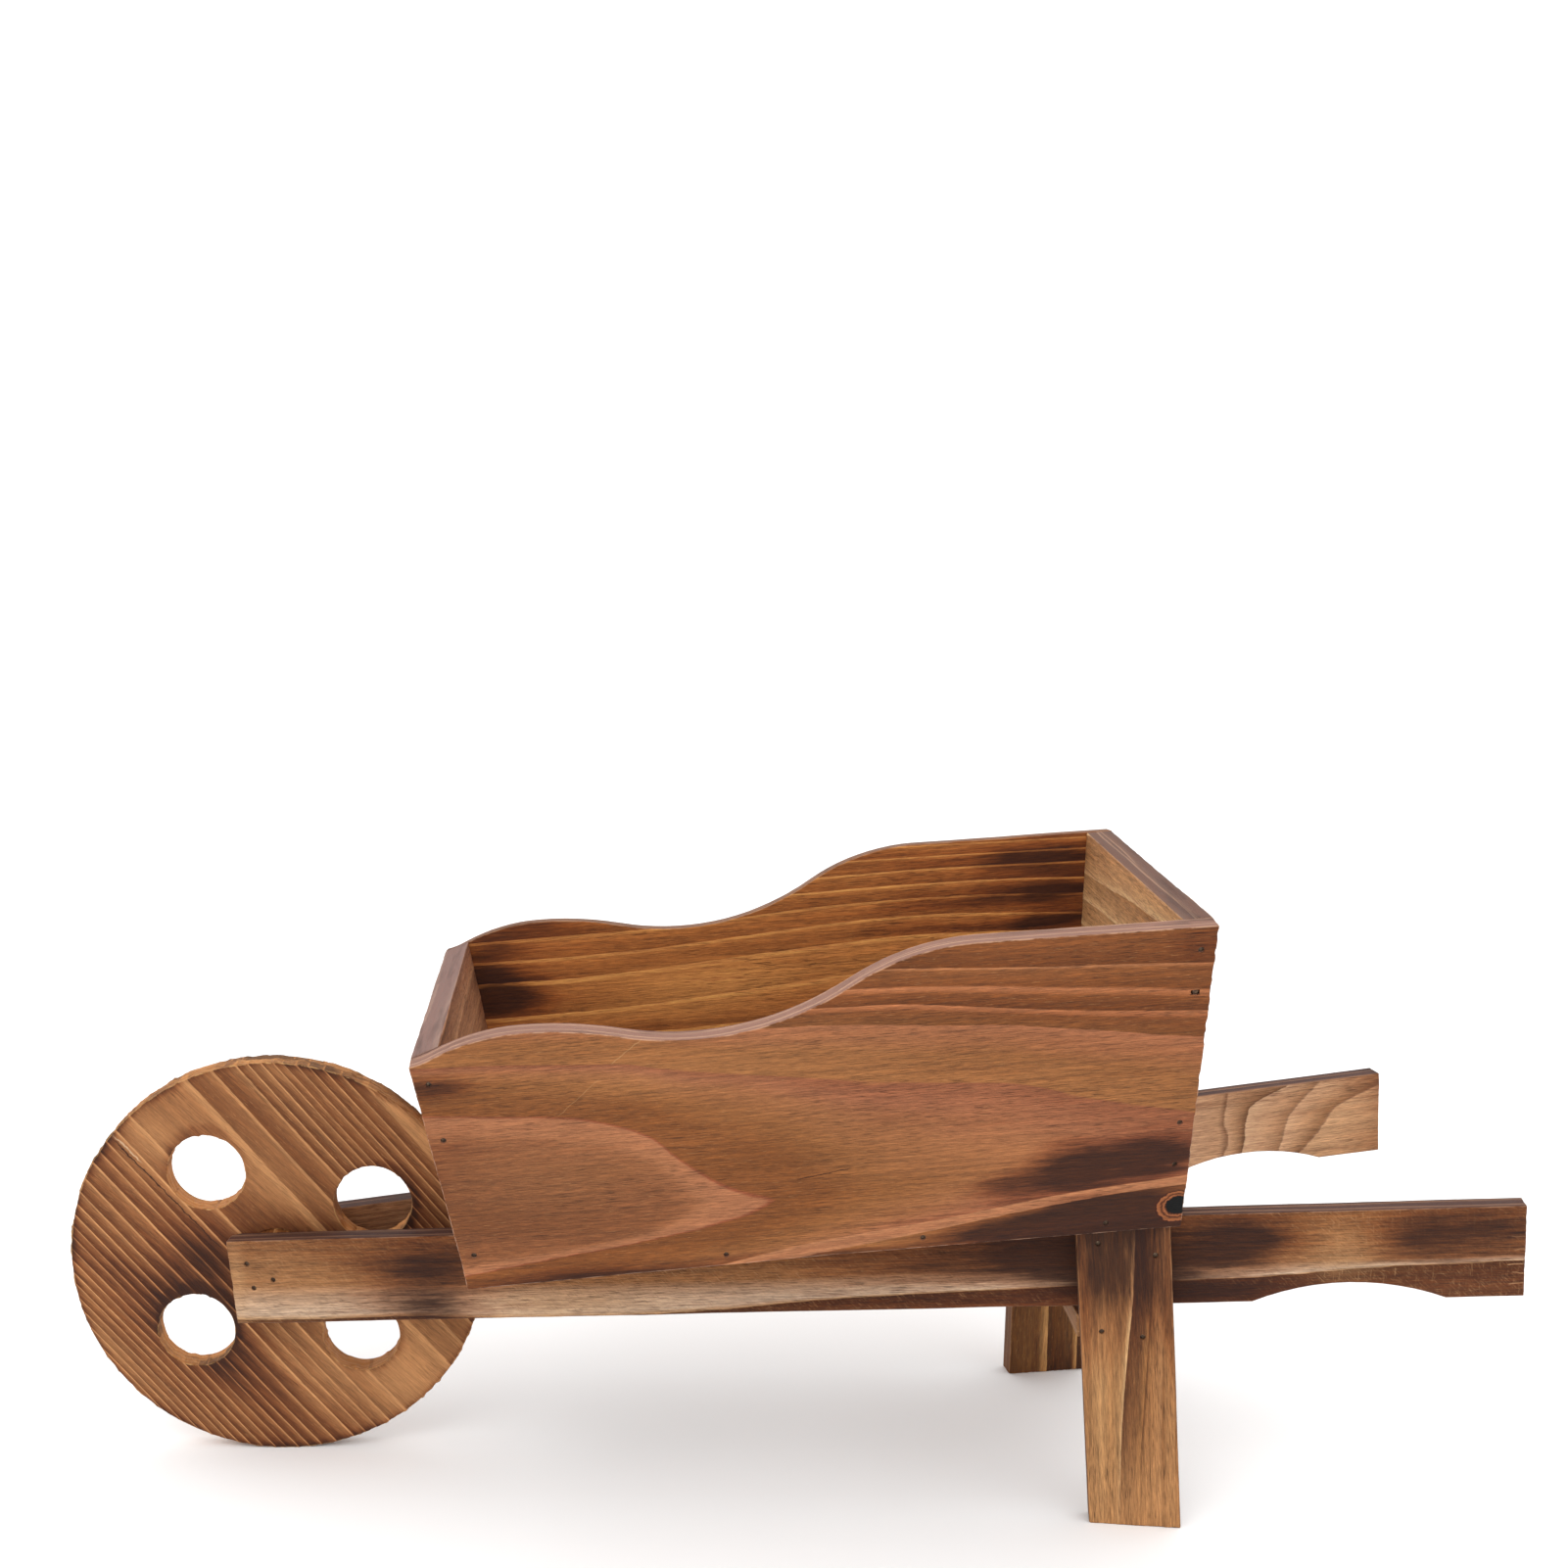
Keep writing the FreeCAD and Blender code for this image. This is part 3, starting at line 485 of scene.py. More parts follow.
def steel(name):
    """Thin round nail wire, sooty and a little rusty, with pale specks painted in as glints."""
    g = Graph(name)
    place = g.node("ShaderNodeTexCoord").outputs["Object"]
    speck = g.noise(place, scale=900.0, detail=4.0, rough=0.6)
    # dark soot, rusty brown, and pale specks as painted glints on the heads in their dark holes
    colour = g.ramp(speck,
                    tone_rows([(0.35, 60, 44, 34), (0.55, 108, 86, 68), (0.7, 170, 144, 116)]))
    shader = g.node("ShaderNodeBsdfPrincipled")
    g.put(shader.inputs["Base Color"], colour)
    shader.inputs["Metallic"].default_value = 0.3
    g.put(shader.inputs["Roughness"], g.range(speck, 0.3, 0.7, 0.4, 0.7, "LINEAR"))
    return g.finished(shader)


# ---------------------------------------------------------------- boards
def patches(u, v, spots):
    """Soft round patches: (u, v, half length, half width, amount)."""
    total = 0.0
    for a, b, ra, rb, amount in spots:
        total = total + amount * np.exp(-((u - a) / ra) ** 2 - ((v - b) / rb) ** 2)
    return total


def nail_places():
    """The points of all nails, to find the wood round them."""
    points = [v.co * 1000 for name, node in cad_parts.items() if name.startswith("nails_")
              for v in node.data.vertices]
    tree = KDTree(len(points))
    for i, p in enumerate(points):
        tree.insert(p, i)
    tree.balance()
    return tree


NAILS = nail_places()


def ripple(lines_per_mm, curl, seed, slope=0.0):
    """Plain rings across a board: nearly straight and a little wavy."""
    def ring(u, v, w):
        wave = noise(u / 90.0, v / 60.0, 0.0, seed) * curl
        stretch = noise(v / 14.0, 3.0, 0.0, seed + 2) * 4.0
        return (v + wave + stretch + slope * u) * lines_per_mm + 40
    return ring


def burn_marks(amount, spots=(), ends=0.3, end_reach=10.0, rims=0.15, seed=0, patch=0.25):
    """Soot in given and in random patches, darker towards the ends and edges."""
    def burn(u, v, w, size):
        slow = noise(u / 45.0, v / 16.0, w / 30.0, seed) * patch
        slow = slow + noise(u / 18.0, v / 7.0, w / 9.0, seed + 1) * patch * 0.6
        near = np.minimum(u, size[0] - u)
        rim = np.minimum(v, size[1] - v)
        marks = amount + slow + ends * np.exp(-near / end_reach) + rims * np.exp(-rim / 4.0)
        return marks + patches(u, v, spots)
    return burn


def board(node, body, normal, grain, across, steps, faces, bevel=0.45, rough_end=0.25,
          seed=1, knots=(), bands=(None, None), extra=None, hang=None):
    """One wooden piece: its CAD shape with rounded, chipped edges, brushed grain and rough sawn
    ends.
    faces holds, for the outer face and then the inner one, (ring, burn, honey spots, material).
    extra gives a further push outwards at each vertex, and hang one down across the grain."""
    axes = local_axes(node, normal, grain, across)
    piece = mesh_object("wood_" + node, cut_up(node, axes, steps, bevel))
    mesh = piece.data
    co = table_of(mesh.vertices, "co")
    no = table_of(mesh.vertices, "normal")
    u, v, n = axes
    along, over, out = co @ u, co @ v, co @ n
    along, over, out = along - along.min(), over - over.min(), out - out.max()
    size = (along.max(), over.max(), -out.min())
    facing = np.abs(no @ n)
    ending = np.abs(no @ u)
    side = 1.0 - smooth(0.45, 0.85, facing)
    end = smooth(0.72, 0.93, ending)
    inner = out < -size[2] / 2
    rings = np.zeros(len(co))
    burnt = np.zeros(len(co))
    honey = np.zeros(len(co))
    band = np.full(len(co), -5.0)
    for which, lines in zip((~inner, inner), bands):
        if lines:
            band[which] = family([(0, lines[0]), (1, lines[1])], along[which], over[which])
    faces = (faces[0], faces[-1])
    for which, (ring, burn, glow, _) in zip((~inner, inner), faces):
        a, b, c = along[which], over[which], out[which]
        rings[which] = ring(a, b, c)
        burnt[which] = burn(a, b, c, size)
        honey[which] = patches(a, b, glow)
    part = rings - np.floor(rings)
    ridge = np.exp(-part * 5.0) + np.exp(-(1 - part) * 22.0)
    arris = np.zeros(len(co))
    mesh.attributes["arris"].data.foreach_get("value", arris)
    nailed = np.zeros(len(co))
    for i in np.flatnonzero(arris > 0.02):
        nailed[i] = math.exp(-(NAILS.find(co[i])[2] / 1.2) ** 2)
    arris = arris * (1 - smooth(0.1, 0.4, nailed))
    slow = noise(along / 30.0, over / 9.0, out / 9.0, seed)
    chips = noise(along / 4.0, over / 2.2, out / 2.2, seed + 5)
    hair = noise(along / 9.0, over / 0.9, out / 0.9, seed + 9)
    torn = noise(along / 2.0, over / 0.8, out / 1.1, seed + 13)
    push = RELIEF * (ridge - 0.45) * (1 - side) + WARP * slow + 0.05 * hair
    push = push - arris * CHIP * smooth(-0.1, 0.8, chips) - end * rough_end * np.abs(torn)
    if extra is not None:
        push = push + extra(along, over, out, size, facing, ending)
    knot = np.full(len(co), 3.0)
    for a, b, ra, rb, where in knots:
        # the outer rings of a knot sit a little to one side of its heart
        off = np.minimum(np.hypot((along - a) / ra, (over - b) / rb), 1.5)
        away = np.hypot((along - a) / ra + 0.2 * off, (over - b) / rb + 0.2 * off)
        knot = np.where(inner == (where == "in"), np.minimum(knot, away), knot)
    co = co + no * push[:, None]
    if hang is not None:
        co = co - hang(along, over)[:, None] * v
    mesh.vertices.foreach_set("co", (co * MM).ravel())
    store(mesh, "ring", rings)
    place = np.stack([along, over, out], 1)
    place[end > 0.5] = np.stack([over, along, out], 1)[end > 0.5]
    store(mesh, "grain", place)
    store(mesh, "burnt", burnt + 0.9 * nailed)
    store(mesh, "band", band)
    store(mesh, "honey", honey)
    store(mesh, "knot", knot)
    store(mesh, "side", np.maximum(side * (1 - end), end))
    # how pale each arris is painted: a painted highlight with some rubbed wear, kept off round the
    # nails
    store(mesh, "arris_highlight_and_wear", arris)
    mesh.shade_smooth()
    for _, _, _, material in faces:
        mesh.materials.append(material)
    middle = table_of(mesh.polygons, "center") / MM @ n
    back = middle - (co @ n).max() < -size[2] / 2
    mesh.polygons.foreach_set("material_index", back.astype(np.int32))
    mesh.update()
    weigh = piece.modifiers.new("even_normals", "WEIGHTED_NORMAL")
    weigh.mode = "FACE_AREA"
    weigh.weight = 50
    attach(piece, body)
    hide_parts(node)


UP, ALONG = (0, 0, 1), (1, 0, 0.08)
# size of the grid on a panel in mm: along the grain, across it, through the thickness
PANEL = (3.0, 0.9, 2.2)

# near side board: nested arches at the front, plain lines above, a burnt corner with a knot
ARCH_TOP = [
    (8, [(0, 34), (40, 26), (70, 10), (90, -20)]),
    (7, [(0, 46), (30, 44), (50, 38), (68, 33), (80, 24), (100, -5), (130, -40)]),
    (6, [(0, 61.3), (20, 59.7), (40, 58), (50, 56.7), (62, 53.5), (70, 50.5), (77, 46.3), (82, 41),
         (90, 34), (97, 29.2), (104, 25.6), (113, 21.5), (125, 8), (150, -40), (259, -150)]),
    (5, [(0, 78), (20, 77.2), (50, 75.2), (70, 73.6), (82, 71), (100, 68.4), (120, 65), (150, 61),
         (170, 58.5), (190, 56.4), (200, 54.5), (215, 50), (232, 45.5), (252, 40.5)]),
    (4, [(0, 92), (60, 90), (110, 82.6), (130, 82), (150, 80.6), (170, 78.6), (190, 77.2),
         (210, 74.3), (230, 71.4), (255, 67.6)]),
    (3, [(0, 97), (110, 88), (135, 87.6), (160, 86.8), (180, 84.3), (200, 81.7), (220, 79.4),
         (255, 76.6)]),
    (2, [(0, 101), (120, 94), (140, 93.2), (170, 91.6), (190, 89.9), (210, 87.9), (230, 86),
         (255, 83.2)]),
    (1, [(0, 108), (140, 100), (160, 98.7), (180, 97.2), (200, 95.9), (220, 94.8), (255, 92.8)]),
    (0, [(0, 118), (140, 108), (200, 104), (255, 102)]),
]
ARCH_LOW = [
    (3, [(0, -60), (110, -30), (180, -9), (259, 0)]),
    (4, [(0, -25), (110, -12), (150, -6), (180, -1), (200, 2), (259, 5)]),
    (5, [(0, -9), (60, -6), (100, -2), (118, 0), (150, 4.6), (170, 7.4), (190, 10.4), (210, 12.9),
         (230, 15), (250, 16.6)]),
    (6, [(0, 3.4), (10, 4.3), (40, 7.4), (70, 11), (95, 15.3), (107, 18.6), (113, 21.5), (130, 33),
         (160, 60), (259, 150)]),
    (7, [(0, 8.2), (30, 10.7), (60, 13.7), (72, 16.5), (80, 21), (95, 40), (120, 90), (259, 300)]),
    (8, [(0, 18), (40, 22), (70, 40), (90, 90), (259, 400)]),
]
NEAR_TONES = tone_rows([
    (0.0, 142, 87, 53), (0.97, 118, 70, 43), (1.0, 192, 128, 86), (1.12, 150, 94, 58),
    (1.9, 134, 80, 48), (2.0, 190, 122, 82), (2.22, 168, 104, 66), (2.32, 140, 85, 52),
    (2.97, 116, 68, 42), (3.0, 190, 121, 81), (3.22, 166, 102, 66), (3.30, 138, 84, 52),
    (3.97, 134, 84, 52), (4.0, 180, 116, 82), (4.28, 170, 110, 74), (4.5, 162, 107, 67),
    (4.97, 168, 112, 70), (5.0, 156, 96, 69), (5.06, 170, 109, 78), (5.16, 174, 115, 76),
    (5.35, 160, 105, 65), (5.6, 144, 90, 54), (5.985, 142, 88, 53), (6.0, 158, 90, 64),
    (6.03, 184, 122, 87), (6.35, 180, 120, 84), (6.55, 160, 104, 71), (7.0, 144, 92, 62),
    (8.0, 136, 86, 58),
])


def arch_rings(u, v, w):
    """Arches, where the lines from below meet those from above."""
    return np.maximum(np.minimum(family(ARCH_TOP, u, v), family(ARCH_LOW, u, v)), 0.02)


# ring colours darkened by the share: painted shade, for a face that lies in shadow
def shade_painted_tones(tones, share):
    return [(place, lighter(tone, share)) for place, tone in tones]


def near_burn(u, v, w, size):
    """Soot at the front corner, above the pale band at the rear, and in the corner below it."""
    spots = [(8, 71, 13, 3.5, 0.75), (10, 51, 12, 8, 0.30), (4, 36, 5, 9, 0.35),
             (240, 27, 17, 8, 1.3), (212, 25, 16, 9, 1.15),
             (190, 20, 12, 6, 0.6), (252, 98, 9, 6, 0.45), (228, 7, 30, 8, 1.8),
             (188, 4, 22, 5, 0.75), (50, 0, 60, 3.4, 0.62),
             (130, 0, 50, 2.4, 0.45), (160, 12, 16, 3, 0.15)]
    soot = burn_marks(0.0, spots, ends=0.25, end_reach=3.0, rims=0.12, seed=3, patch=0.12)
    streaks = noise(u / 26.0, v / 1.3, 0.0, 61) * patches(u, v, [(228, 26, 30, 9, 1.0)])
    return soot(u, v, w, size) + 0.25 * streaks


def near_torn(u, v, w, size, facing, ending):
    """The rear end's front arris is torn out at two nails and ragged between them."""
    rear = smooth(size[0] - 12, size[0] - 6, u) * smooth(0.3, 0.7, ending) * smooth(-4.0, -0.5, w)
    bites = patches(v, 0.0, [(83, 0, 1.5, 1, 1.1), (38, 0, 1.6, 1, 1.0), (29, 0, 1.2, 1, 0.5)])
    return -rear * (bites + 0.35 * smooth(0.0, 0.8, noise(v / 2.0, 0.0, 0.0, 62)))


def near_hang(u, v):
    """The lower edge hangs a little lower towards the front end."""
    return 2.3 * np.clip(1 - u / 132, 0, 1) * (1 - smooth(0.0, 9.0, v))


NEAR_BAND = ([(60, -9), (100, -3), (118, 0), (150, 4.2), (170, 7), (190, 10), (210, 12.6),
              (230, 14.8), (252, 16.2)],
             [(60, -5), (100, 1.2), (118, 4.2), (150, 8.2), (170, 10.3), (190, 13.2), (210, 16),
              (230, 17.7), (252, 19.4)])
BAND_TONES = tone_rows([(0.0, 190, 130, 92), (0.5, 184, 122, 86), (1.0, 196, 134, 94)])
LINE_TINT = (205, 160, 110)
NEAR_EDGE = dict(edge=(166, 124, 107), edge_light=(222, 176, 146), edge_lines=0.26)
board("side_board_left", "cart", (0, -1, -0.1), ALONG, UP, PANEL,
      [(arch_rings, near_burn,
        [(125, 76, 40, 9, 0.10), (60, 66, 40, 5, 0.10), (45, 36, 30, 12, 0.12)],
        wood("wood_side_left", 1, pore=0.55, band=BAND_TONES, tones=NEAR_TONES, tone_span=8.0,
             waver=0.05, fray=0.02, cloud=0.35, **NEAR_EDGE,
             marks=[(45, 57, 62, 71, 0.20, LINE_TINT, 0.35), (64, 74, 76, 83, 0.25, LINE_TINT, 0.55),
                    (121, 28.5, 141, 31.5, 0.3, CHAR, 0.85), (109, 97, 113, 97.5, 0.5, CHAR, 0.7)])),
       # inner face: the outer face's ring colours darkened to 0.72, painted shade inside the tub
       (arch_rings, burn_marks(0.12, ends=0.5, end_reach=14, seed=4), [],
        wood("wood_side_left_in", 15, tones=shade_painted_tones(NEAR_TONES, 0.72), tone_span=8.0, waver=0.05,
             fray=0.02, cloud=0.6, **NEAR_EDGE))],
      knots=[(247.6, 9.2, 6.4, 5.3, "out")], bands=(NEAR_BAND, None), extra=near_torn,
      hang=near_hang, seed=31)

# far side board, seen from inside: bold dark bands between orange lines, burnt at both ends
FAR_LINES = [
    (10, [(0, 8), (130, 14), (259, 10)]), (9, [(0, 20), (130, 25), (259, 22)]),
    (8, [(0, 30), (130, 34), (259, 33)]),
    (7, [(0, 40), (130, 42), (259, 44)]),
    (6, [(12, 51), (50, 51), (110, 54), (150, 57), (200, 59), (259, 58)]),
    (5, [(12, 65), (50, 64.6), (80, 65.6), (110, 67.7), (150, 69.8), (180, 70.8), (205, 70),
         (246, 68)]),
    (4, [(12, 73.4), (50, 73), (80, 73.6), (110, 75.2), (150, 77.8), (190, 78), (220, 76.2),
         (246, 74.6)]),
    (3, [(12, 81), (90, 81.5), (150, 84.6), (200, 84.6), (246, 82)]),
    (2, [(12, 92), (90, 90), (130, 90.2), (170, 90.4), (200, 90), (230, 89), (246, 88)]),
    (1, [(60, 97), (150, 95.8), (180, 96), (200, 95.6), (246, 94.2)]),
    (0, [(60, 104), (170, 101), (200, 100.4), (246, 99.2)]),
    (-1, [(60, 110), (200, 104.5), (246, 103.4)]),
]
FAR_EDGE = dict(edge=(142, 100, 76), edge_light=(198, 150, 114), edge_lines=0.26)
board("side_board_right", "cart", (0, 1, -0.1), ALONG, UP, PANEL,
      [(ripple(1 / 7.5, 5.0, 22), burn_marks(0.04, [(60, 96, 50, 8, 0.35), (6, 60, 12, 40, 0.3)],
                                             seed=5), [(150, 50, 60, 20, 0.2)],
        wood("wood_side_right", 2, heart=(98, 50, 38), base=(176, 118, 74), dark=(120, 74, 44),
             light=(216, 166, 114), **FAR_EDGE)),
       (lambda u, v, w: family(FAR_LINES, u, v) + 3,
        burn_marks(0.0, [(20, 59, 22, 10, 1.2), (12, 70, 16, 5, 0.6), (30, 88, 30, 7, 0.5),
                         (18, 79, 14, 5, 0.5), (232, 97, 26, 5, 0.95), (236, 83, 26, 4.5, 0.85),
                         (234, 72, 26, 4, 1.0), (240, 90, 14, 3, 0.3), (190, 82, 30, 4, 0.45),
                         (180, 73, 25, 3, 0.45),
                         (150, 100, 30, 4, 0.3), (222, 90, 40, 14, 0.28)], ends=0.3, end_reach=8,
                         seed=6, patch=0.22),
        [(105, 60, 36, 6, 0.85), (90, 50, 40, 6, 0.45), (170, 62, 40, 7, 0.3)],
        wood("wood_side_right_in", 16, base=(200, 125, 69), dark=(134, 78, 44),
             light=(234, 164, 94), char=(48, 30, 24),
             contrast=(0.6, 1.0), waver=0.03, fray=0.02, cloud=0.35, dusky=0.9, **FAR_EDGE,
             profile=((0.0, 1.0), (0.11, 0.95), (0.16, 0.25), (0.35, 0.08), (0.6, 0.0),
                      (0.988, 0.0), (1.0, 0.7))))],
      knots=[(166, 46, 9, 6, "out")], seed=32)

# end boards: grain across the cart
END_EDGE = dict(edge=(122, 88, 74), edge_light=(186, 146, 118), edge_lines=0.2)
FRONT_EDGE = dict(edge=(146, 112, 102), edge_light=(176, 142, 126), edge_lines=0.13)
END_WOOD = dict(base=(172, 112, 70), dark=(104, 66, 44), light=(214, 162, 110), **END_EDGE)
board("front_board", "cart", (-1, 0, -0.2), (0, 1, 0), UP, PANEL,
      [(ripple(1 / 8.0, 4.0, 23), burn_marks(0.22, [(60, 50, 40, 12, 0.6), (20, 20, 25, 12, 0.5)],
                                             ends=0.2, seed=7, patch=0.45), [],
        wood("wood_front", 3, base=(192, 122, 62), dark=(116, 68, 38), light=(226, 164, 92),
             **FRONT_EDGE)),
       (ripple(1 / 9.0, 3.0, 24), burn_marks(0.06, [(40, 4, 60, 8, 0.4)], ends=0.2, seed=8),
        [(75, 46, 90, 30, 0.55)],
        wood("wood_front_in", 17, base=(172, 112, 80), dark=(106, 66, 48), light=(214, 160, 118),
             **FRONT_EDGE))],
      seed=33)
board("rear_board", "cart", (1, 0, 0), (0, 1, 0), UP, PANEL,
      [(ripple(1 / 8.0, 3.0, 25), burn_marks(0.15, ends=0.3, seed=9), [],
        wood("wood_rear", 4, **END_WOOD)),
       (ripple(1 / 10.5, 2.5, 26, 0.064),
        burn_marks(0.0, [(100, 103, 90, 3.5, 0.7), (80, 88, 60, 3, 0.25)], ends=0.1, seed=10,
                   patch=0.12),
        [(110, 74, 70, 14, 0.25)],
        wood("wood_rear_in", 18, base=(212, 154, 102), dark=(156, 104, 64), light=(244, 200, 148),
             cloud=0.4, contrast=(0.5, 1.0), **END_EDGE))],
      seed=34)
# floor board, the same on both faces
FLOOR_FACE = (ripple(1 / 7.0, 3.0, 27), burn_marks(0.08, ends=0.5, seed=11), [],
              wood("wood_floor", 5, heart=(84, 44, 32), base=(172, 116, 74), light=(216, 168, 116)))
board("floor_board", "cart", UP, (1, 0, 0.08), (0, 1, 0), (4.0, 1.2, 2.8),
      [FLOOR_FACE], knots=[(205, 75, 6, 5, "out")], seed=35)

# near rail: a pale band low down, burnt in the middle and by the leg
RAIL_LINES = [
    (12, [(0, -10), (446, -8)]),
    (11, [(0, 1.6), (30, 1.0), (60, 1.6), (100, 0.0), (180, 1.6), (210, 4.0), (300, 7.4),
          (335, 8.6), (360, 9.2), (400, 11.8), (446, 13)]),
    (10.6, [(0, 9.8), (100, 7.6), (180, 8.0), (260, 9.0), (300, 9.6), (335, 10.2), (360, 10.8),
            (400, 13.1), (446, 14.1)]),
    (10.35, [(0, 14.4), (100, 12.6), (180, 12.2), (260, 14), (300, 14.6), (360, 14.4), (385, 14.2),
             (400, 13.9), (446, 15.0)]),
    (10, [(0, 22), (60, 20), (100, 19), (180, 18), (300, 21), (360, 22), (446, 23)]),
    (9, [(0, 29), (120, 30), (300, 33), (446, 30)]),
    (8, [(0, 36), (446, 40)]),
]
RAIL_TONES = tone_rows([
    (0.0, 138, 88, 56), (2.0, 148, 96, 60), (3.0, 158, 106, 67), (3.32, 168, 116, 76),
    (3.62, 208, 172, 142), (3.9, 226, 196, 168), (3.985, 206, 160, 116), (4.0, 94, 58, 40),
    (4.4, 122, 76, 52), (5.0, 100, 62, 46),
])
RAIL_EDGE = dict(edge=(98, 70, 62), edge_light=(176, 132, 104), edge_lines=0.17)
HANDLE_LINES = [
    (0, [(0, 362), (20, 366), (34, 372)]), (1, [(8, 383), (12, 384), (20, 383), (32, 384)]),
    (2, [(7, 389), (12, 390), (20, 391), (27, 396), (31, 407)]),
    (3, [(5, 405), (12, 407), (18, 409), (32, 421)]),
    (4, [(10, 420), (14, 424), (22, 432), (27, 446)]), (5, [(0, 440), (14, 450), (27, 470)]),
]
HANDLE_TONES = tone_rows([
    (0.0, 226, 178, 140), (0.80, 214, 164, 124), (0.95, 156, 112, 84), (1.0, 222, 174, 134),
    (1.35, 206, 156, 116), (1.8, 166, 120, 86), (1.975, 128, 90, 66), (2.0, 230, 186, 146),
    (2.5, 216, 166, 126), (2.9, 180, 132, 96), (2.97, 168, 126, 96), (3.0, 224, 176, 136),
    (3.5, 200, 150, 110), (3.9, 158, 112, 78), (3.97, 158, 116, 88), (4.0, 214, 166, 124),
    (5.0, 190, 140, 100),
])
board("rail_left", "cart", (-0.15, -0.99, 0), (1, 0, 0.0814), UP, (3.0, 0.8, 2.0),
      [(lambda u, v, w: np.clip(family(RAIL_LINES, u, v) - 7, 0.02, 4.98),
        burn_marks(0.0, [(70, 20, 24, 15, 0.78), (72, 4, 15, 7, 0.5), (36, 22, 26, 12, 0.18),
                         (95, 24, 20, 9, 0.3), (292, 20, 30, 14, 1.0), (320, 16, 20, 16, 1.0),
                         (354, 22, 18, 10, 1.0), (345, 4, 30, 5, 0.75), (250, 3, 50, 3, 0.5),
                         (250, 16, 40, 9, 0.6), (200, 24, 50, 6, 0.3),
                         (430, 6, 40, 6, 0.25), (430, 23, 32, 10, 0.8), (410, 23, 14, 8, 0.4),
                         (440, 8, 20, 8, 0.1), (425, 15, 30, 2.5, 0.3)],
                   ends=0.1, end_reach=4, rims=0.04, seed=12, patch=0.16),
        [(12, 18, 34, 14, 0.22), (116, 5, 34, 5, 0.6), (388, 17, 8, 10, 0.28),
         (385, 15, 26, 3, 0.22), (2, 20, 3, 20, 0.4)],
        wood("wood_rail_left", 6, tones=RAIL_TONES, tone_span=5.0, waver=0.03, fray=0.03, cloud=0.4,
             scratch=0.42, cross=0.35, cross_from=372.0, light=(216, 168, 120), **RAIL_EDGE,
             marks=[(u, y, u + 6.0, y + lean, 0.35, (206, 162, 120), 0.8)
                    for u, y, lean in ((441, 4.5, 0.4), (442, 8.6, -0.3), (440.5, 11.6, 0.2),
                                       (442.5, 16.8, 0.5), (441.5, 21.5, -0.4))])),
       (ripple(1 / 11.0, 5.0, 28), burn_marks(0.15, seed=13), [],
        wood("wood_rail_left_in", 19, **RAIL_EDGE))],
      seed=36)
board("rail_right", "cart", (-0.15, 0.99, 0), (1, 0, 0.0814), UP, (3.0, 0.8, 2.0),
      [(ripple(1 / 11.0, 4.0, 29), burn_marks(0.15, [(20, 18, 30, 16, -0.3)], seed=14),
        [(400, 16, 60, 20, 0.3)], wood("wood_rail_right", 7, base=(176, 124, 82), **RAIL_EDGE)),
       (lambda u, v, w: np.where(u > 330, np.clip(family(HANDLE_LINES, v, u), 0.02, 4.98),
                                 4.5 + 0.4 * noise(u / 60.0, v / 5.0, 0.0, 30)),
        burn_marks(0.0, [(150, 16, 150, 22, 0.55), (440, 26, 24, 8, 0.25), (362, 30, 20, 4, 0.3)],
                   seed=15, patch=0.12), [],
        wood("wood_rail_right_in", 20, tones=HANDLE_TONES, tone_span=5.0, dark=(140, 98, 66),
             light=(222, 184, 140), waver=0.10, fray=0.05, cloud=0.25, **RAIL_EDGE))],
      seed=37)

# near leg: brown from the tub down to the lower nails, crossed by one pale line
LEG_PALE = [(0, 10.3), (20, 11.3), (50, 13.6), (65, 15.2), (85, 17.8), (110, 19.6)]
LEG_LINES = [
    (9, [(0, -4), (113, 4)]), (8, [(0, 4), (60, 6), (113, 9)]), (7, LEG_PALE),
    (6, [(0, 17.4), (20, 18.2), (45, 20.2), (70, 22.6), (113, 26)]),
    (5, [(0, 27), (60, 28.5), (113, 31)]), (4, [(0, 33), (113, 36)]),
]
LEG_TONES = tone_rows([
    (0.0, 170, 116, 74), (0.5, 178, 124, 80), (0.56, 136, 92, 60), (0.62, 186, 134, 88),
    (1.0, 178, 126, 82), (1.2, 150, 102, 66), (1.26, 186, 134, 90), (1.9, 170, 118, 76),
    (2.0, 112, 74, 50), (2.06, 170, 118, 74),
    (2.3, 138, 94, 62), (2.7, 120, 80, 54), (2.99, 98, 62, 44), (3.0, 226, 180, 130),
    (3.12, 196, 148, 100), (3.5, 184, 134, 88), (4.0, 196, 148, 100), (5.0, 164, 112, 72),
])


def leg_burn(u, v, w, size):
    """Brown down to the lower nails, with the pale line showing through."""
    spots = [(104, 10, 20, 12, 0.55), (92, 14, 26, 22, 0.55), (98, 25, 24, 9, 0.38),
             (113, 16, 6, 20, 0.35), (72, 30, 24, 3, 0.3), (66, 8, 12, 9, 0.2)]
    marks = burn_marks(0.0, spots, ends=0.05, rims=0.05, seed=16, patch=0.12)(u, v, w, size)
    kept = 0.55 - 0.35 * smooth(66, 92, u)
    return marks - kept * np.exp(-((v - curve(LEG_PALE)(u) + 0.3) / 0.8) ** 2)


